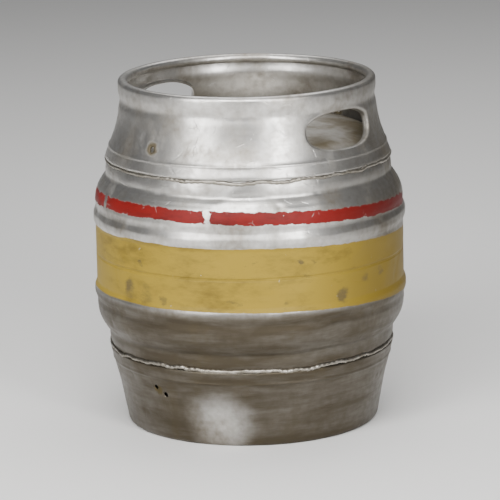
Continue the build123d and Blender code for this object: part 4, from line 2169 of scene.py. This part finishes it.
@dataclass(frozen=True)
class WornPaper:
    """Coated label paper, water-stained, with rows of faded printed dashes that say nothing.

    The eye gets a warm white matt sheet with brown tide marks and broken grey bars.
    """

    name: str = "worn coated paper"
    paper: str = "#F1ECE2"
    stain: str = "#A8916C"
    ink: str = "#4A4846"

    def build(self) -> Finish:
        """Makes the material.

        Returns:
            The finished material.
        """
        material = bpy.data.materials.new(self.name)
        material.use_nodes = True
        tree = material.node_tree
        shader = tree.nodes["Principled BSDF"]
        shader.inputs["Roughness"].default_value = 0.75
        uv = add_node(tree, "ShaderNodeUVMap", {"uv_map": "label"}).outputs[0]
        place = add_node(tree, "ShaderNodeTexCoord").outputs["Object"]
        bars = add_node(
            tree,
            "ShaderNodeTexBrick",
            {"offset": 0.37, "squash": 0.6, "squash_frequency": 3},
            {
                "Vector": uv,
                "Scale": 1.0,
                "Color1": (1, 1, 1, 1),
                "Color2": (1, 1, 1, 1),
                "Mortar": (0, 0, 0, 1),
                "Brick Width": 0.042,
                "Row Height": 0.13,
                "Mortar Size": 0.011,
                "Mortar Smooth": 0.0,
            },
        )
        axes = add_node(tree, "ShaderNodeSeparateXYZ", None, {0: uv})
        rows = add_node(
            tree, "ShaderNodeMapRange", None, {"Value": axes.outputs[1], "From Min": 0.6, "From Max": 0.38}
        )
        fade = add_node(tree, "ShaderNodeTexNoise", None, {"Vector": place, "Scale": 300.0, "Detail": 6.0})
        kept = add_node(
            tree, "ShaderNodeMapRange", None, {"Value": fade.outputs[0], "From Min": 0.4, "From Max": 0.47}
        )
        marked = add_node(
            tree, "ShaderNodeMath", {"operation": "MULTIPLY"}, {0: bars.outputs["Color"], 1: rows.outputs[0]}
        )
        printed = add_node(
            tree, "ShaderNodeMath", {"operation": "MULTIPLY"}, {0: marked.outputs[0], 1: kept.outputs[0]}
        )
        tide = add_node(tree, "ShaderNodeTexNoise", None, {"Vector": place, "Scale": 45.0, "Detail": 8.0})
        amount = add_node(
            tree,
            "ShaderNodeMapRange",
            {"interpolation_type": "SMOOTHSTEP"},
            {"Value": tide.outputs[0], "From Min": 0.5, "From Max": 0.68, "To Min": 0.05, "To Max": 0.7},
        )
        stained = add_node(
            tree,
            "ShaderNodeMix",
            {"data_type": "RGBA"},
            {0: amount.outputs[0], "A": linear(self.paper), "B": linear(self.stain)},
        )
        inked = add_node(
            tree,
            "ShaderNodeMix",
            {"data_type": "RGBA"},
            {0: printed.outputs[0], "A": stained.outputs["Result"], "B": linear(self.ink)},
        )
        bump = add_node(
            tree, "ShaderNodeBump", None, {"Strength": 0.6, "Distance": 0.1 * MM, "Height": fade.outputs[0]}
        )
        tree.links.new(inked.outputs["Result"], shader.inputs["Base Color"])
        tree.links.new(bump.outputs[0], shader.inputs["Normal"])
        return material


# ---------------------------------------------------------------- valve
@dataclass
class Valve:
    """The turned, pressed and moulded pieces of the spear, which keep their own meshes."""

    # Turned 304 stainless: a bright, fairly smooth metal with a level turning grain.
    turned: PlainFinish = PlainFinish(
        "turned stainless", "#D2D0CC", "#8F8B84", 1.0, 0.2, 0.42, 0.5, (1.0, 1.0, 12.0), 0.05
    )
    # Pressed 304 sheet: a little duller, with an even grain.
    pressed: PlainFinish = PlainFinish(
        "pressed stainless", "#C9C7C2", "#8A8780", 1.0, 0.25, 0.45, 0.9, (1.0, 1.0, 1.0), 0.04
    )
    # Drawn 302 spring wire: darker, with a grain along the wire.
    wire: PlainFinish = PlainFinish(
        "drawn spring wire", "#BDBBB6", "#77746E", 1.0, 0.22, 0.4, 0.6, (3.0, 3.0, 1.0), 0.03
    )
    # Moulded nitrile rubber: a soft near-black with almost no shine.
    rubber: PlainFinish = PlainFinish(
        "moulded nitrile rubber", "#262524", "#3B3936", 0.0, 0.5, 0.72, 0.5, (1.0, 1.0, 1.0), 0.05
    )
    # Moulded acetal: an off-white plastic with a faint waxy shine.
    acetal: PlainFinish = PlainFinish(
        "moulded acetal", "#E6E4DC", "#CFCBBF", 0.0, 0.35, 0.5, 0.7, (1.0, 1.0, 1.0), 0.03
    )

    def dress(self, nodes: dict[str, bpy.types.Object]) -> None:
        """Gives each piece of the valve its finish.

        Args:
            nodes: The frame's objects by node name.
        """
        groups = {
            self.turned: ("neck", "spear_body", "ball"),
            self.pressed: ("spring_basket", "valve_carrier", "dip_tube"),
            self.wire: ("main_spring", "ball_spring", "snap_ring"),
            self.rubber: ("valve_seal", "neck_seal"),
            self.acetal: ("tube_bush",),
        }
        for finish, names in groups.items():
            material = finish.build()
            for name in names:
                mesh = nodes[name].data
                mesh.materials.clear()
                mesh.materials.append(material)
                LOG.info("dressed %s in %s", name, finish.name)


# ---------------------------------------------------------------- studio
@dataclass
class Studio:
    """A pale floor, broad soft lights and the camera. Lengths are in metres."""

    azimuth: float = 44.0
    elevation: float = 12.9
    distance: float = 4.8
    roll: float = -1.2
    frame_height: float = 0.66
    sensor: float = 36.0
    middle: float = 0.222

    def _from_keg(self, azimuth: float, elevation: float, distance: float) -> Vector:
        """A place seen from the keg's middle at angles in degrees, as the camera's are given.

        Args:
            azimuth: The angle round the keg.
            elevation: The angle above level.
            distance: The distance in metres.

        Returns:
            The place in metres.
        """
        turn, rise = math.radians(azimuth), math.radians(elevation)
        flat = distance * math.cos(rise)
        return Vector(
            (flat * math.sin(turn), -flat * math.cos(turn), self.middle + distance * math.sin(rise))
        )

    def floor(self) -> None:
        """Lays the pale floor."""
        mesh = bpy.data.meshes.new("floor")
        half = 12.0
        mesh.from_pydata(
            [(-half, -half, 0), (half, -half, 0), (half, half, 0), (-half, half, 0)], [], [(0, 1, 2, 3)]
        )
        floor = bpy.data.objects.new("floor", mesh)
        bpy.context.collection.objects.link(floor)
        material = bpy.data.materials.new("pale floor")
        material.use_nodes = True
        shader = material.node_tree.nodes["Principled BSDF"]
        shader.inputs["Base Color"].default_value = linear("#EDECEA")
        shader.inputs["Roughness"].default_value = 0.85
        mesh.materials.append(material)

    def lights(self) -> None:
        """Hangs the softboxes and sets the pale surroundings."""
        boxes = (
            ("key", self.azimuth + 27, 20.0, 2.6, 0.5, 1.7, 46.0),
            ("fill", self.azimuth - 40, 20.0, 2.8, 0.9, 1.7, 48.0),
            ("front", self.azimuth - 10, 44.0, 2.8, 1.6, 1.2, 66.0),
            ("top", self.azimuth + 170, 68.0, 2.8, 2.6, 2.6, 50.0),
        )
        for name, azimuth, elevation, distance, width, tall, power in boxes:
            light = bpy.data.lights.new(name, "AREA")
            light.shape = "RECTANGLE"
            light.size = width
            light.size_y = tall
            light.energy = power
            lamp = bpy.data.objects.new(name, light)
            lamp.location = self._from_keg(azimuth, elevation, distance)
            aim = Vector((0, 0, self.middle)) - lamp.location
            lamp.rotation_euler = aim.to_track_quat("-Z", "Y").to_euler()
            bpy.context.collection.objects.link(lamp)
        world = bpy.data.worlds.new("studio")
        world.use_nodes = True
        surround = world.node_tree.nodes["Background"]
        surround.inputs["Color"].default_value = linear("#F2F3F5")
        surround.inputs["Strength"].default_value = 0.17
        bpy.context.scene.world = world

    def camera(self) -> None:
        """Sets the camera, aimed at the keg and rolled as the keg leans in view."""
        lens = bpy.data.cameras.new("camera")
        lens.sensor_width = self.sensor
        lens.lens = self.sensor * self.distance / self.frame_height
        camera = bpy.data.objects.new("camera", lens)
        camera.location = self._from_keg(self.azimuth, self.elevation, self.distance)
        aim = Vector((0, 0, self.middle)) - camera.location
        turn = aim.to_track_quat("-Z", "Y").to_matrix().to_4x4()
        camera.rotation_euler = (turn @ Matrix.Rotation(math.radians(self.roll), 4, "Z")).to_euler()
        bpy.context.collection.objects.link(camera)
        bpy.context.scene.camera = camera


# ---------------------------------------------------------------- the whole keg
def place_piece(piece: bpy.types.Object, nodes: Sequence[str]) -> None:
    """Rides a piece on the keg, hides the nodes that it stands for, and logs its face count.

    Args:
        piece: The piece.
        nodes: The nodes that it stands for.
    """
    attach(piece, KEG_BODY)
    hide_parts(*nodes)
    LOG.info("built %s with %d faces", piece.name, len(piece.data.polygons))


def main() -> None:
    """Builds and dresses the keg."""
    logging.basicConfig(level=logging.INFO)
    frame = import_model()
    studio = Studio()
    studio.camera()
    studio.lights()
    studio.floor()
    revolve, knock, bead = revolve_tree(), knocks_tree(), weld_tree()

    # Brushed-on enamel, a wide mustard band and a thin red one: flat colour with chips and grime, and painted
    # shade on one side.
    bands = (
        PaintBand(
            174.0,
            262.0,
            "#927B28",
            "#5E4D1C",
            0.5,
            scuffs=(
                (-96.0, 204.0, 13.0),
                (-87.0, 200.0, 12.0),
                (-80.0, 196.0, 8.0),
                (-90.0, 241.0, 5.0),
                (-27.0, 250.0, 4.5),
                (-22.0, 249.0, 4.0),
                (-10.0, 197.0, 11.0),
                (0.0, 212.0, 10.0),
                (10.0, 216.0, 8.0),
                (-33.0, 194.0, 6.0),
                (78.0, 205.0, 13.0),
                (146.0, 238.0, 9.0),
                (200.0, 202.0, 14.0),
            ),
        ),
        PaintBand(
            291.0,
            308.5,
            "#741410",
            "#43100D",
            1.3,
            ((-61.0, 3.2), (-113.0, 2.0), (40.0, 4.0), (151.0, 5.0)),
        ),
    )
    keg_steel = DrawnStainless("drawn stainless with painted bands", bands=bands, head_height=395.0).build()
    stains = ((0.0, -175.0, 386.0, 13.0), (0.0, 175.0, 384.0, 12.0), (4.0, -177.0, 70.0, 9.0))
    # Painted highlights low on the foot ring, as pale spots where the film is taken away.
    painted_highlights = ((82.0, -142.0, 34.0, 54.0), (-88.0, 140.0, 30.0, 40.0))
    collar_steel = DrawnStainless(
        "rolled stainless", soil_amount=0.3, stains=stains, painted_highlights=painted_highlights
    ).build()
    # Wire-brushed stainless weld metal: a satin bead, browner in its hollows.
    weld_steel = PlainFinish(
        "brushed weld bead", "#B4AFA5", "#6A6357", 1.0, 0.3, 0.5, 1.2, relief=0.1
    ).build()

    shells = Shells()
    knocks = Knocks(broad_depth=1.7, small_depth=0.6, seed=3.0)
    upper = shells.build(False, revolve, knock, keg_steel, knocks)
    lower = shells.build(True, revolve, knock, keg_steel, knocks)
    place_piece(upper, ["upper_shell"])
    place_piece(lower, ["lower_shell"])

    chimes = Chimes()
    collar = chimes.collar(collar_steel, knock, Knocks(110.0, 1.3, 30.0, 0.25, 12.0))
    place_piece(collar, ["top_chime"])
    foot = chimes.foot(collar_steel, knock, Knocks(broad_depth=1.6, small_depth=0.8, seed=17.0))
    place_piece(foot, ["bottom_chime"])

    welds = (
        Weld("top_chime_bead", "top_chime_weld", 185.3, 351.8, 2.8, 1.0, 640, 13.0, 2.0),
        Weld("bottom_chime_bead", "bottom_chime_weld", 185.3, 105.0, 3.0, 1.0, 640, 14.0, 5.0),
        Weld("girth_bead", "girth_weld", 202.1, 228.5, 2.0, 0.24, 900, 0.5, 9.0),
        Weld("neck_bead", "neck_weld", 32.6, 392.6, 1.7, 1.0, 130, 0.3, 11.0),
    )
    for weld in welds:
        painted = weld.node == "girth_weld"
        piece = weld.build(bead, keg_steel if painted else weld_steel)
        if painted:
            run_tree(piece, knock, knocks.values(shells.height / 2, keg_steel))
            settle(piece)
        place_piece(piece, [weld.node])

    label = HeadLabel().build(WornPaper().build())
    place_piece(label, ["label"])
    Valve().dress(frame["nodes"])


if __name__ == "__main__":
    main()
